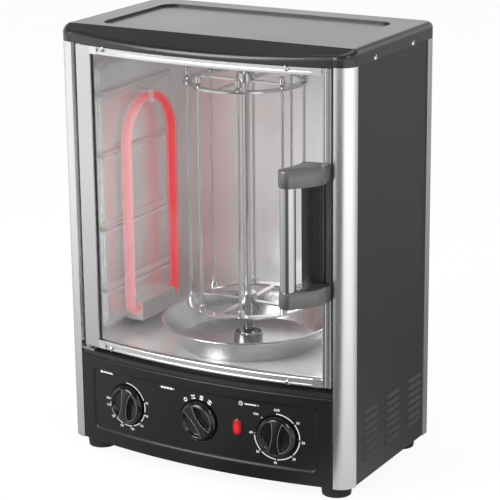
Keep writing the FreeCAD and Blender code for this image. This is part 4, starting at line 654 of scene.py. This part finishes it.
def write(text, x, z, shift, rise, size):
    """Printed figures centred on a point of the face."""
    curve = bpy.data.curves.new("figures", "FONT")
    curve.body, curve.size, curve.align_x, curve.align_y = text, size, "CENTER", "CENTER"
    curve.resolution_u, curve.offset = 3, size * 0.028
    holder = bpy.data.objects.new("figures", curve)
    bpy.context.scene.collection.objects.link(holder)
    bpy.context.view_layer.update()
    mesh = bpy.data.meshes.new_from_object(holder.evaluated_get(bpy.context.evaluated_depsgraph_get()))
    start = len(marks["points"])
    out = PRINT_OUT - FRAME_DEPTH
    marks["points"] += [on_face(x, shift + v.co.x, z + rise + v.co.y, out) for v in mesh.vertices]
    marks["faces"] += [tuple(start + i for i in polygon.vertices) for polygon in mesh.polygons]
    bpy.data.objects.remove(holder)
    bpy.data.curves.remove(curve)
    bpy.data.meshes.remove(mesh)


def ring_of(x, z, radius, width, stops, tick, figures, figure_radius, size, gap):
    """A dial's broken ring, a tick at each stop and a figure beside it."""
    for first, last in zip(stops, stops[1:]):
        arc_band(x, z, radius, width, first - 0.5, last - gap, max(4, int((last - first) / 5)))
    for angle, text in zip(stops, figures):
        a = math.radians(angle)
        stroke(x, z, [(r * math.sin(a), r * math.cos(a)) for r in (radius, radius + tick)], 0.7)
        if text:
            write(text, x, z, figure_radius * math.sin(a), figure_radius * math.cos(a), size)


TEMPERATURE_STOPS = [0, 76, 107, 138, 168, 199, 229, 257, 273]
TEMPERATURE_FIGURES = ["", "70", "90", "110", "130", "150", "180", "210", "240"]
TIMER_STOPS = [0, 52, 96, 140, 184, 228, 272]
TIMER_FIGURES = ["OFF", "10", "20", "30", "40", "50", "60"]
x, z, radius = DIALS["temperature"]
ring_of(x, z, radius + 2.4, 1.0, TEMPERATURE_STOPS, 2.0, TEMPERATURE_FIGURES, radius + 6.4, 3.5, 8.0)
x, z, radius = DIALS["timer"]
ring_of(x, z - 0.7, radius + 3.2, 1.15, TIMER_STOPS, 1.4, TIMER_FIGURES, radius + 7.8, 3.8, 5.0)
stroke(x, z, [(-17.3, 18.9), (-16.4, 17.9)], 1.3)
write("ON", x, z, -23.5, 21.5, 3.6)

# Four symbols round the function dial: off, heat, turning, turning with heat.
FUNCTION_STOPS, SYMBOL_OUT = (-37, -14, 8.5, 31), 5.0
OFF, HEAT, TURN, TURN_AND_HEAT = range(4)
x, z, radius = DIALS["function"]


def symbol(angle, points, width):
    """A stroke through points (across, outward) of a symbol whose upright runs out from the dial."""
    a = math.radians(angle)
    line = []
    for across, outward in points:
        r = radius + SYMBOL_OUT + outward
        line.append((r * math.sin(a) + across * math.cos(a), r * math.cos(a) - across * math.sin(a)))
    stroke(x, z, line, width)


for sign, angle in enumerate(FUNCTION_STOPS):
    if sign == OFF:
        symbol(angle, [(1.7 * math.sin(b), 1.9 * math.cos(b)) for b in circle(14) + [2 * math.pi]], 1.3)
    if sign in (HEAT, TURN_AND_HEAT):
        for row in (-1.5, 1.3):
            symbol(angle, [(-2.3 + 0.66 * i, row + 0.35 * math.sin(i * 1.57)) for i in range(8)], 1.7)
    if sign in (TURN, TURN_AND_HEAT):
        symbol(angle, [(0, -2.8), (0, 2.9)], 1.1)
    if sign == TURN:
        symbol(angle, [(-2.1, 1.3), (2.1, 1.3)], 1.9)
        symbol(angle, [(-2.1, -1.4), (2.1, -1.4)], 1.9)


def disc_mark(u, v, inner, outer, steps=18):
    """A printed ring about (u, v), or a disc where inner is near zero."""
    for b, c in zip(circle(steps), circle(steps)[1:] + [2 * math.pi]):
        corners = ((b, inner), (c, inner), (c, outer), (b, outer))
        add_mark([(0.0, u + r * math.sin(t), v + r * math.cos(t)) for t, r in corners])


def bar_mark(start, end, z, width):
    """A printed level bar."""
    stroke(0.0, 0.0, [(start, z), (end, z)], width)


# A thermometer, a skewer and a clock mark what each dial sets.
LABEL_Z, CLOCK_X, CLOCK_Z = 97.2, 54.0, 95.6
bar_mark(-127.0, -111.0, LABEL_Z, 1.5)
disc_mark(-127.6, LABEL_Z, 0.001, 1.55)
for tick in (-122.0, -119.0, -116.0, -113.0):
    stroke(0.0, 0.0, [(tick, LABEL_Z), (tick, LABEL_Z + 1.4)], 0.9)
bar_mark(-45.5, -27.0, LABEL_Z, 0.8)
for lump in (-42.4, -38.6, -34.8, -31.0):
    bar_mark(lump - 1.4, lump + 1.4, LABEL_Z, 2.4)
disc_mark(CLOCK_X, CLOCK_Z, 1.7, 2.5)
stroke(0.0, 0.0, [(CLOCK_X, CLOCK_Z + 1.3), (CLOCK_X, CLOCK_Z - 0.1), (CLOCK_X + 1.2, CLOCK_Z - 0.7)], 0.7)
bar_mark(58.5, 72.0, CLOCK_Z, 1.5)
bar_mark(73.5, 74.5, CLOCK_Z, 1.5)
piece("dial_print", marks["points"], marks["faces"], print_white, "shell")


# ---------------------------------------------------------------- door frame

DOOR_LOW, DOOR_HIGH, BOTTOM_RAIL_HIGH, TOP_RAIL_LOW = 124.5, 456.2, 133.0, 448.2
RAIL_LEFT, RAIL_RIGHT = -128.0, 144.0


def rail_outline(low, high, outer_high):
    """Rail section (inset, z): a lip, a groove and a rounded band, with the glass groove in its inner edge."""
    flip = (lambda z: z) if outer_high else (lambda z: low + high - z)
    section = [
        (8.0, low), (8.0, high), (0.5, high), (0.15, high - 0.4), (0.15, high - 1.5), (0.5, high - 1.9),
        (1.5, high - 2.0), (1.5, high - 4.1), (0.3, high - 4.4), (0.0, high - 4.9), (0.0, low + 0.6), (0.4, low),
        (2.15, low), (2.15, low + 4.6), (6.15, low + 4.6), (6.15, low),
    ]
    return [(inset, flip(z)) for inset, z in section]


RAILS = (("top", TOP_RAIL_LOW, DOOR_HIGH, True), ("bottom", DOOR_LOW, BOTTOM_RAIL_HIGH, False))
for label, low, high, outer_high in RAILS:
    points, faces = loft(bow_sweep(rail_outline(low, high, outer_high), RAIL_LEFT, RAIL_RIGHT))
    piece(f"{label}_rail", points, faces, rail_aluminium, "door", (f"door_rail_{label}",), 25)


def upright(name, section, low, high, material, stands_for):
    """A bar of the door whose section is (x, inset), from z low to z high."""
    points, faces = loft([[(x, bow(x, inset), z) for x, inset in section] for z in (low, high)])
    piece(name, points, faces, material, "door", stands_for, 25)


upright("latch_stile", [
    (144.0, 0.5), (144.4, 0.1), (145.2, 0.0), (147.0, 0.1), (147.5, 0.5), (147.6, 1.5), (148.4, 1.5), (148.5, 0.7),
    (149.0, 0.3), (151.2, 0.3), (152.3, 0.8), (152.7, 1.6), (152.7, 8.0), (144.0, 8.0), (144.0, 6.15), (148.4, 6.15),
    (148.4, 2.15), (144.0, 2.15),
], DOOR_LOW, DOOR_HIGH, door_aluminium, ("door_stile_right",))

# Connector plates clipped on the rails' ends; flare is how far a ring of one stands wider.
CONNECTORS = (("bottom_left", -127.4, 125.0, 133.6), ("bottom_right", 134.0, 125.0, 133.4),
              ("top_right", 134.0, 448.6, 456.0), ("top_left", -127.4, 448.4, 456.0))
CONNECTOR_WIDTH, CONNECTOR_CORNER = 9.0, 0.9
for label, left, low, high in CONNECTORS:
    right = left + CONNECTOR_WIDTH
    outline = rounded([(left, low), (right, low), (right, high), (left, high)], CONNECTOR_CORNER)
    middle_x, middle_z = left + CONNECTOR_WIDTH / 2, (low + high) / 2
    rings = []
    for flare, out in ((0.0, -0.6), (0.0, 0.25), (0.3, 0.55)):
        ring = []
        for px, pz in outline:
            shift, rise = px - middle_x, pz - middle_z
            shift += math.copysign(flare, shift)
            rise += math.copysign(flare, rise)
            ring.append(on_face(middle_x, shift, middle_z + rise, out))
        rings.append(ring)
    points, faces = loft(rings)
    piece(f"connector_{label}", points, faces, rail_aluminium, "door")


# ---------------------------------------------------------------- handle

HANDLE_LEFT, HANDLE_RIGHT, HANDLE_LOW, HANDLE_HIGH, ARM_HEIGHT = 124.0, 153.5, 219.0, 361.0, 18.0
BAR_X, BAR_Y, NOSE_RADIUS = 126.0, -119.25, 9.45
# In front of this plane, in metres, the arms take a lighter, metallic copy of the black: a painted sheen.
SHEEN_FROM_Y = -0.0915


def arm_outline(inset):
    """Outline of a swept arm seen from above, drawn in by inset."""
    nose = NOSE_RADIUS - inset
    foot_left = (HANDLE_LEFT + inset, bow(HANDLE_LEFT) - 3.0)
    foot_right = (HANDLE_RIGHT - inset, bow(HANDLE_RIGHT) - 3.0)
    outline = [foot_left]
    start, end = Vector(foot_left), Vector((BAR_X - nose, BAR_Y))
    for k in range(5):
        f = (k + 1) / 6
        bulge = Vector((1.6 * math.sin(math.pi * f), 0))
        outline.append(tuple(start.lerp(end, f) + bulge))
    for k in range(19):
        a = math.pi + math.pi * k / 18 * 0.93
        outline.append((BAR_X + nose * math.cos(a), BAR_Y + nose * math.sin(a)))
    last = Vector(outline[-1])
    end = Vector(foot_right)
    side = Vector(((end - last).y, -(end - last).x)).normalized()
    for k in range(9):
        f = (k + 1) / 10
        outline.append(tuple(last.lerp(end, f) + side * 6.4 * math.sin(math.pi * f) ** 0.9))
    outline.append(foot_right)
    return outline


def make_arm(low):
    """Points and faces of an arm that stands on z = low."""
    profile = ((1.6, 0.0), (0.5, 0.35), (0.0, 1.5),
               (0.0, ARM_HEIGHT - 1.5), (0.5, ARM_HEIGHT - 0.35), (1.6, ARM_HEIGHT))
    return loft([[(x, y, low + z) for x, y in arm_outline(inset)] for inset, z in profile])


def make_plate():
    """Points and faces of the plate between the arms; its section is (x, inset)."""
    section = [
        (HANDLE_LEFT, 2.0), (HANDLE_LEFT, -2.9), (HANDLE_LEFT + 0.6, -3.7), (HANDLE_LEFT + 1.6, -4.0), (143.4, -4.0),
        (144.0, -4.5), (144.9, -4.8), (145.8, -4.5), (146.2, -3.4), (147.0, -2.6), (148.0, -2.6), (148.6, -3.2),
        (149.4, -3.5), (150.2, -3.2), (150.8, -2.2), (152.8, -1.6), (153.5, -0.9), (153.5, 0.0), (144.3, 0.0),
        (143.6, 2.0),
    ]
    rings = []
    for shrink, z in ((0.8, HANDLE_LOW), (0.0, HANDLE_LOW + 0.8), (0.0, HANDLE_HIGH - 0.8), (0.8, HANDLE_HIGH)):
        rings.append([(x, bow(x, min(2.0, inset + (shrink if inset < 0 else 0))), z) for x, inset in section])
    return loft(rings)


points, faces = merged([make_arm(HANDLE_LOW), make_arm(HANDLE_HIGH - ARM_HEIGHT), make_plate()])
moulding = piece("handle_moulding", points, faces, handle_black, "door", ("handle_bracket",), 40)
# Faces in front of the plane take the painted sheen.
moulding.data.materials.append(arm_painted_sheen)
for polygon in moulding.data.polygons:
    if polygon.center.y < SHEEN_FROM_Y:
        polygon.material_index = 1


# ---------------------------------------------------------------- chamber walls

WALL_FRONT, WALL_REAR, WALL_LOW, WALL_HIGH = -67.4, 116.5, 124.0, 448.0
PRESS_FRONT, PRESS_REAR, PRESS_LOW, PRESS_HIGH = -51.5, 99.5, 127.0, 434.0
PRESS_DEPTH, PRESS_SLOPE, PRESS_CORNER = 8.0, 9.0, 20.0
PRESS_PROFILE = ((0.0, 0.0), (0.7, 0.5), (2.1, 3.2), (8.3, 7.4), (9.6, 7.9), (11.0, 8.0))
GUIDES = (177.5, 247.5, 329.5, 396.5)
WALL_FACE, WALL_SHEET = 150.0, 0.8
# A painted highlight strip, a whiter steel standing in for a reflection on the border's facet, lies this far inside
# the pressing's edge, and stops short of the guides with rounded ends.
STRIP_HALF, STRIP_MIDDLE, STRIP_ROUND, STRIP_GAP, STRIP_REACH = 3.0, 5.2, 1.6, 4.2, 22.0


def inside_press(y, z):
    """How far a point of the wall lies inside the pressing's edge."""
    middle = (PRESS_FRONT + PRESS_REAR) / 2
    return -box_distance(y - middle, z, (PRESS_REAR - PRESS_FRONT) / 2, PRESS_LOW, PRESS_HIGH, PRESS_CORNER)


def pressed(inside):
    """Height of the pressing's border: a steep step, then a facet, then the flat."""
    for (near, low), (far, high) in zip(PRESS_PROFILE, PRESS_PROFILE[1:]):
        if inside < far:
            return low + (high - low) * max(0.0, inside - near) / (far - near)
    return PRESS_DEPTH


def wall_relief(y, z):
    """How far the wall's sheet is pressed into the chamber at a point."""
    inside = inside_press(y, z)
    relief = pressed(inside)
    for guide in GUIDES:
        crossing = math.exp(-((z - guide) / 4.0) ** 4)
        relief += crossing * (PRESS_DEPTH * smooth(inside / PRESS_SLOPE) - pressed(inside))
        reach = smooth((inside - 2.0) / 6.0)
        relief += reach * 2.9 * math.exp(-((z - guide) / 2.3) ** 4)
        above, below = ((z - guide + shift) / 1.5 for shift in (-4.6, 4.6))
        relief -= reach * 0.9 * (math.exp(-above ** 2) + math.exp(-below ** 2))
    return relief


def on_painted_highlight(y, z):
    """Whether a point of the wall lies on a painted highlight strip: the border's facet, between two guides."""
    off_middle = abs(inside_press(y, z) - STRIP_MIDDLE)
    if y > PRESS_FRONT + STRIP_REACH or off_middle > STRIP_HALF:
        return False
    ends = (PRESS_LOW + 4.0,) + GUIDES + (PRESS_HIGH - 2.0,)
    gap = min(abs(z - end) for end in ends) - STRIP_GAP
    if gap < 0:
        return False
    if gap >= STRIP_ROUND:
        return True
    return off_middle < STRIP_HALF - STRIP_ROUND + math.sqrt(STRIP_ROUND ** 2 - (STRIP_ROUND - gap) ** 2)


def stations(low, high, coarse, fine, spots, reach):
    """Positions from low to high, finer within reach of the given spots."""
    places, here = [], low
    while here < high - 1e-6:
        places.append(here)
        here += fine if any(abs(here - spot) < reach for spot in spots) else coarse
    return places + [high]


def make_wall(label, sign):
    """A pressed side wall of the chamber: two faces a sheet apart, joined along their rim."""
    heights = stations(WALL_LOW, WALL_HIGH, 2.6, 0.75, GUIDES + (PRESS_LOW + 5, PRESS_HIGH - 5), 8.0)
    depths = stations(WALL_FRONT, WALL_REAR, 2.6, 0.75, (PRESS_FRONT + 5, PRESS_REAR - 5), 7.0)
    rows, columns = len(heights), len(depths)
    front, rear = [], []
    for z in heights:
        for y in depths:
            relief = wall_relief(y, z)
            front.append((sign * (WALL_FACE - relief), y, z))
            rear.append((sign * (WALL_FACE + WALL_SHEET - relief), y, z))
    faces = quads(rows, columns)
    count = len(front)
    faces += [tuple(v + count for v in reversed(face)) for face in faces]
    rim = [j * columns for j in range(rows)] + [(rows - 1) * columns + i for i in range(1, columns)]
    rim += [j * columns + columns - 1 for j in reversed(range(rows - 1))] + list(reversed(range(1, columns - 1)))
    for a, b in zip(rim, rim[1:] + rim[:1]):
        faces.append((a, b, b + count, a + count))
    stands_for = (f"chamber_wall_{label}",)
    name, points = f"pressed_wall_{label}", front + rear
    wall = piece(name, points, faces, chamber_steel, "shell", stands_for, 50)
    wall.data.materials.append(painted_highlight_steel)
    # Faces on a strip take the whiter steel: a painted highlight.
    for polygon in wall.data.polygons:
        _, y, z = polygon.center * 1000
        if on_painted_highlight(y, z):
            polygon.material_index = 1


make_wall("left", -1)
make_wall("right", 1)


# ---------------------------------------------------------------- glow round the heater

HEATER_X, HEATER_Y, HEATER_HALF, HEATER_BEND, HEATER_FOOT, HEATER_TURN = -128.0, 26.75, 46.0, 337.0, 158.0, 12.0
GLOW_RADIUS = 6.6
leg = []
for k in range(7):
    a = math.pi / 2 * k / 6
    leg.append((HEATER_HALF - HEATER_TURN * (1 - math.sin(a)), HEATER_FOOT - HEATER_TURN * math.cos(a)))
leg += [(HEATER_HALF, HEATER_FOOT + (HEATER_BEND - HEATER_FOOT) * k / 12) for k in range(1, 12)]
turns = [math.pi * k / 24 for k in range(25)]
bend = [(HEATER_HALF * math.cos(a), HEATER_BEND + HEATER_HALF * math.sin(a)) for a in turns]
path = [(HEATER_X, HEATER_Y - half, z) for half, z in leg + bend]
path += [(HEATER_X, HEATER_Y + half, z) for half, z in reversed(leg)]
points, faces = tube(path, GLOW_RADIUS, (1, 0, 0), 24)
piece("heater_glow", points, faces, halo, "shell", (), 60)


# ---------------------------------------------------------------- side louvres

LOUVRE_COLUMNS, LOUVRE_ROWS, LOUVRE_Y, LOUVRE_Z, LOUVRE_STEP_Y, LOUVRE_STEP_Z = 3, 7, -44.45, 36.2, 52.5, 8.3
HOOD_LENGTH, HOOD_HEIGHT, HOOD_OUT, PANEL_FACE = 35.4, 4.6, 1.9, 171.85
# How steeply a hood falls to the panel at its ends: gently at the front, sharply at the rear.
HOOD_FRONT_FALL, HOOD_REAR_FALL = 5.5, 20.625


def make_louvres(label, sign):
    """A pressed hood over each slot of a side panel, open along its lower edge."""
    parts, rows, columns = [], 9, 25
    for column in range(LOUVRE_COLUMNS):
        for row in range(LOUVRE_ROWS):
            hood = []
            for j in range(rows):
                f = j / (rows - 1)
                for i in range(columns):
                    g = i / (columns - 1)
                    end = smooth(min(g * HOOD_FRONT_FALL, (1 - g) * HOOD_REAR_FALL))
                    y = LOUVRE_Y + LOUVRE_STEP_Y * column + HOOD_LENGTH * g
                    z = LOUVRE_Z + LOUVRE_STEP_Z * row + HOOD_HEIGHT * f
                    hood.append((sign * (PANEL_FACE + HOOD_OUT * end * (1 - f) ** 1.1), y, z))
            parts.append((hood, quads(rows, columns)))
    points, faces = merged(parts)
    item = piece(f"louvres_{label}", points, faces, dark_panel, "shell", (), 60)
    thick = item.modifiers.new("sheet", "SOLIDIFY")
    thick.thickness = 0.0004
    thick.offset = -1


make_louvres("left", -1)
make_louvres("right", 1)


# ---------------------------------------------------------------- room, lights and camera

WHITE = (1, 1, 1, 1)
world = bpy.data.worlds.new("studio")
bpy.context.scene.world = world
world.use_nodes = True
tree = world.node_tree
tree.nodes.clear()
# Reflections see a studio that is dim overhead and brighter behind; the camera sees plain white.
path = add(tree, "ShaderNodeLightPath")
direction = add(tree, "ShaderNodeTexCoord").outputs["Generated"]
axes = axes_of(tree, direction)
low_band = ramp(tree, axes.outputs["Z"], 0.36, 0.52, 1.0, 0.10)
behind = ramp(tree, axes.outputs["Y"], 0.2, 0.7, 0.75, 1.02)
mirrored_light = maths(tree, "MULTIPLY", low_band, behind)
seen = maths(tree, "MAXIMUM", path.outputs["Is Camera Ray"], path.outputs["Is Transmission Ray"])
plain, studio, backdrop = (add(tree, "ShaderNodeBackground", {"Color": WHITE, "Strength": strength}).outputs[0]
                           for strength in (0.5, mirrored_light, 1.0))
unseen = add(tree, "ShaderNodeMixShader", {0: path.outputs["Is Glossy Ray"], 1: plain, 2: studio})
everything = add(tree, "ShaderNodeMixShader", {0: seen, 1: unseen.outputs[0], 2: backdrop})
add(tree, "ShaderNodeOutputWorld", {0: everything.outputs[0]})

HALF_FLOOR = 6.0
floor_mesh = bpy.data.meshes.new("floor")
corners = [(HALF_FLOOR * x, HALF_FLOOR * y, 0) for x, y in ((-1, -1), (1, -1), (1, 1), (-1, 1))]
floor_mesh.from_pydata(corners, [], [(0, 1, 2, 3)])
floor = bpy.data.objects.new("floor", floor_mesh)
bpy.context.scene.collection.objects.link(floor)
floor_paint, tree, shade = new_material("floor_white")
fill(tree, shade, {"Base Color": (0.84, 0.84, 0.84, 1), "Roughness": 0.9, "Specular IOR Level": 0.0})
# Reflections see bands on the floor by bearing, as studio cards would give; the camera sees it nearly white.
path = add(tree, "ShaderNodeLightPath")
place = axes_of(tree, add(tree, "ShaderNodeNewGeometry").outputs["Position"])
bearing = maths(tree, "ARCTAN2", place.outputs["X"], maths(tree, "MULTIPLY", place.outputs["Y"], -1.0))
left_flag = ramp(tree, bearing, -0.85, -0.60, 1.0, 0.72)
dark_flag = ramp(tree, bearing, -0.12, 0.06, 1.0, 0.24)
right_flag = ramp(tree, bearing, 0.55, 0.80, 0.0, 1.0)
panel = maths(tree, "MAXIMUM", maths(tree, "MULTIPLY", left_flag, dark_flag), right_flag)
reach = length_of(tree, place.outputs["X"], place.outputs["Y"])
rear_dim = ramp(tree, maths(tree, "ABSOLUTE", bearing), 1.6, 2.4, 1.0, 0.32)
# Painted shade: reflections see the floor darker near the object, where its shade falls.
painted_floor_shade = ramp(tree, reach, 0.20, 1.5, 0.44, 1.02)
side_lift = ramp(tree, bearing, 0.55, 0.95, 1.0, 1.32)
cards = maths(tree, "MULTIPLY", panel, rear_dim)
strength = maths(tree, "MULTIPLY", cards, maths(tree, "MULTIPLY", painted_floor_shade, side_lift))
mirrored, lit = (add(tree, "ShaderNodeEmission", {"Color": WHITE, "Strength": value}).outputs[0]
                 for value in (strength, 1.03))
seen = maths(tree, "MULTIPLY", path.outputs["Is Camera Ray"], 0.90)
plainly = add(tree, "ShaderNodeMixShader", {0: seen, 1: shade.outputs[0], 2: lit})
mixed = add(tree, "ShaderNodeMixShader", {0: path.outputs["Is Glossy Ray"], 1: plainly.outputs[0], 2: mirrored})
tree.links.new(mixed.outputs[0], tree.nodes["Material Output"].inputs["Surface"])
floor_mesh.materials.append(floor_paint)


def softbox(name, place, target, width, height, power):
    """A rectangular lamp of that power in watts, facing its target."""
    data = bpy.data.lights.new(name, "AREA")
    data.shape, data.size, data.size_y, data.energy = "RECTANGLE", width, height, power
    item = bpy.data.objects.new(name, data)
    bpy.context.scene.collection.objects.link(item)
    item.location = place
    item.rotation_mode = "QUATERNION"
    item.rotation_quaternion = (Vector(target) - Vector(place)).to_track_quat("-Z", "Y")
    return item


softbox("key", (-0.95, -1.75, 1.45), (0, 0, 0.25), 1.1, 1.5, 38)
softbox("fill", (1.7, -0.8, 1.7), (0, 0, 0.25), 0.5, 0.9, 6)
softbox("top", (0.1, 0.4, 2.2), (0, 0, 0.3), 1.4, 1.4, 8)
inner = softbox("chamber_front", (0.03, -0.062, 0.30), (-0.02, 0.06, 0.20), 0.20, 0.26, 0.26)
inner.visible_camera = False
inner.visible_glossy = False

CAMERA_TARGET = Vector((0.0014, 0.02175, 0.2252))
CAMERA_AZIMUTH, CAMERA_RISE, CAMERA_ROLL = (math.radians(a) for a in (29.98, 16.45, -0.63))
CAMERA_DISTANCE, CAMERA_LENS, CAMERA_SENSOR = 2.167, 143.9, 36.0
level = math.cos(CAMERA_RISE)
back = Vector((math.sin(CAMERA_AZIMUTH) * level, -math.cos(CAMERA_AZIMUTH) * level, math.sin(CAMERA_RISE)))
right = Vector((math.cos(CAMERA_AZIMUTH), math.sin(CAMERA_AZIMUTH), 0))
up = back.cross(right)
camera_right = right * math.cos(CAMERA_ROLL) + up * math.sin(CAMERA_ROLL)
camera_up = up * math.cos(CAMERA_ROLL) - right * math.sin(CAMERA_ROLL)
camera_data = bpy.data.cameras.new("camera")
camera_data.lens, camera_data.sensor_width = CAMERA_LENS, CAMERA_SENSOR
camera = bpy.data.objects.new("camera", camera_data)
bpy.context.scene.collection.objects.link(camera)
turn = Matrix((camera_right, camera_up, back)).transposed().to_4x4()
camera.matrix_world = Matrix.Translation(CAMERA_TARGET + back * CAMERA_DISTANCE) @ turn
bpy.context.scene.camera = camera
bpy.context.scene.view_settings.view_transform = "Standard"
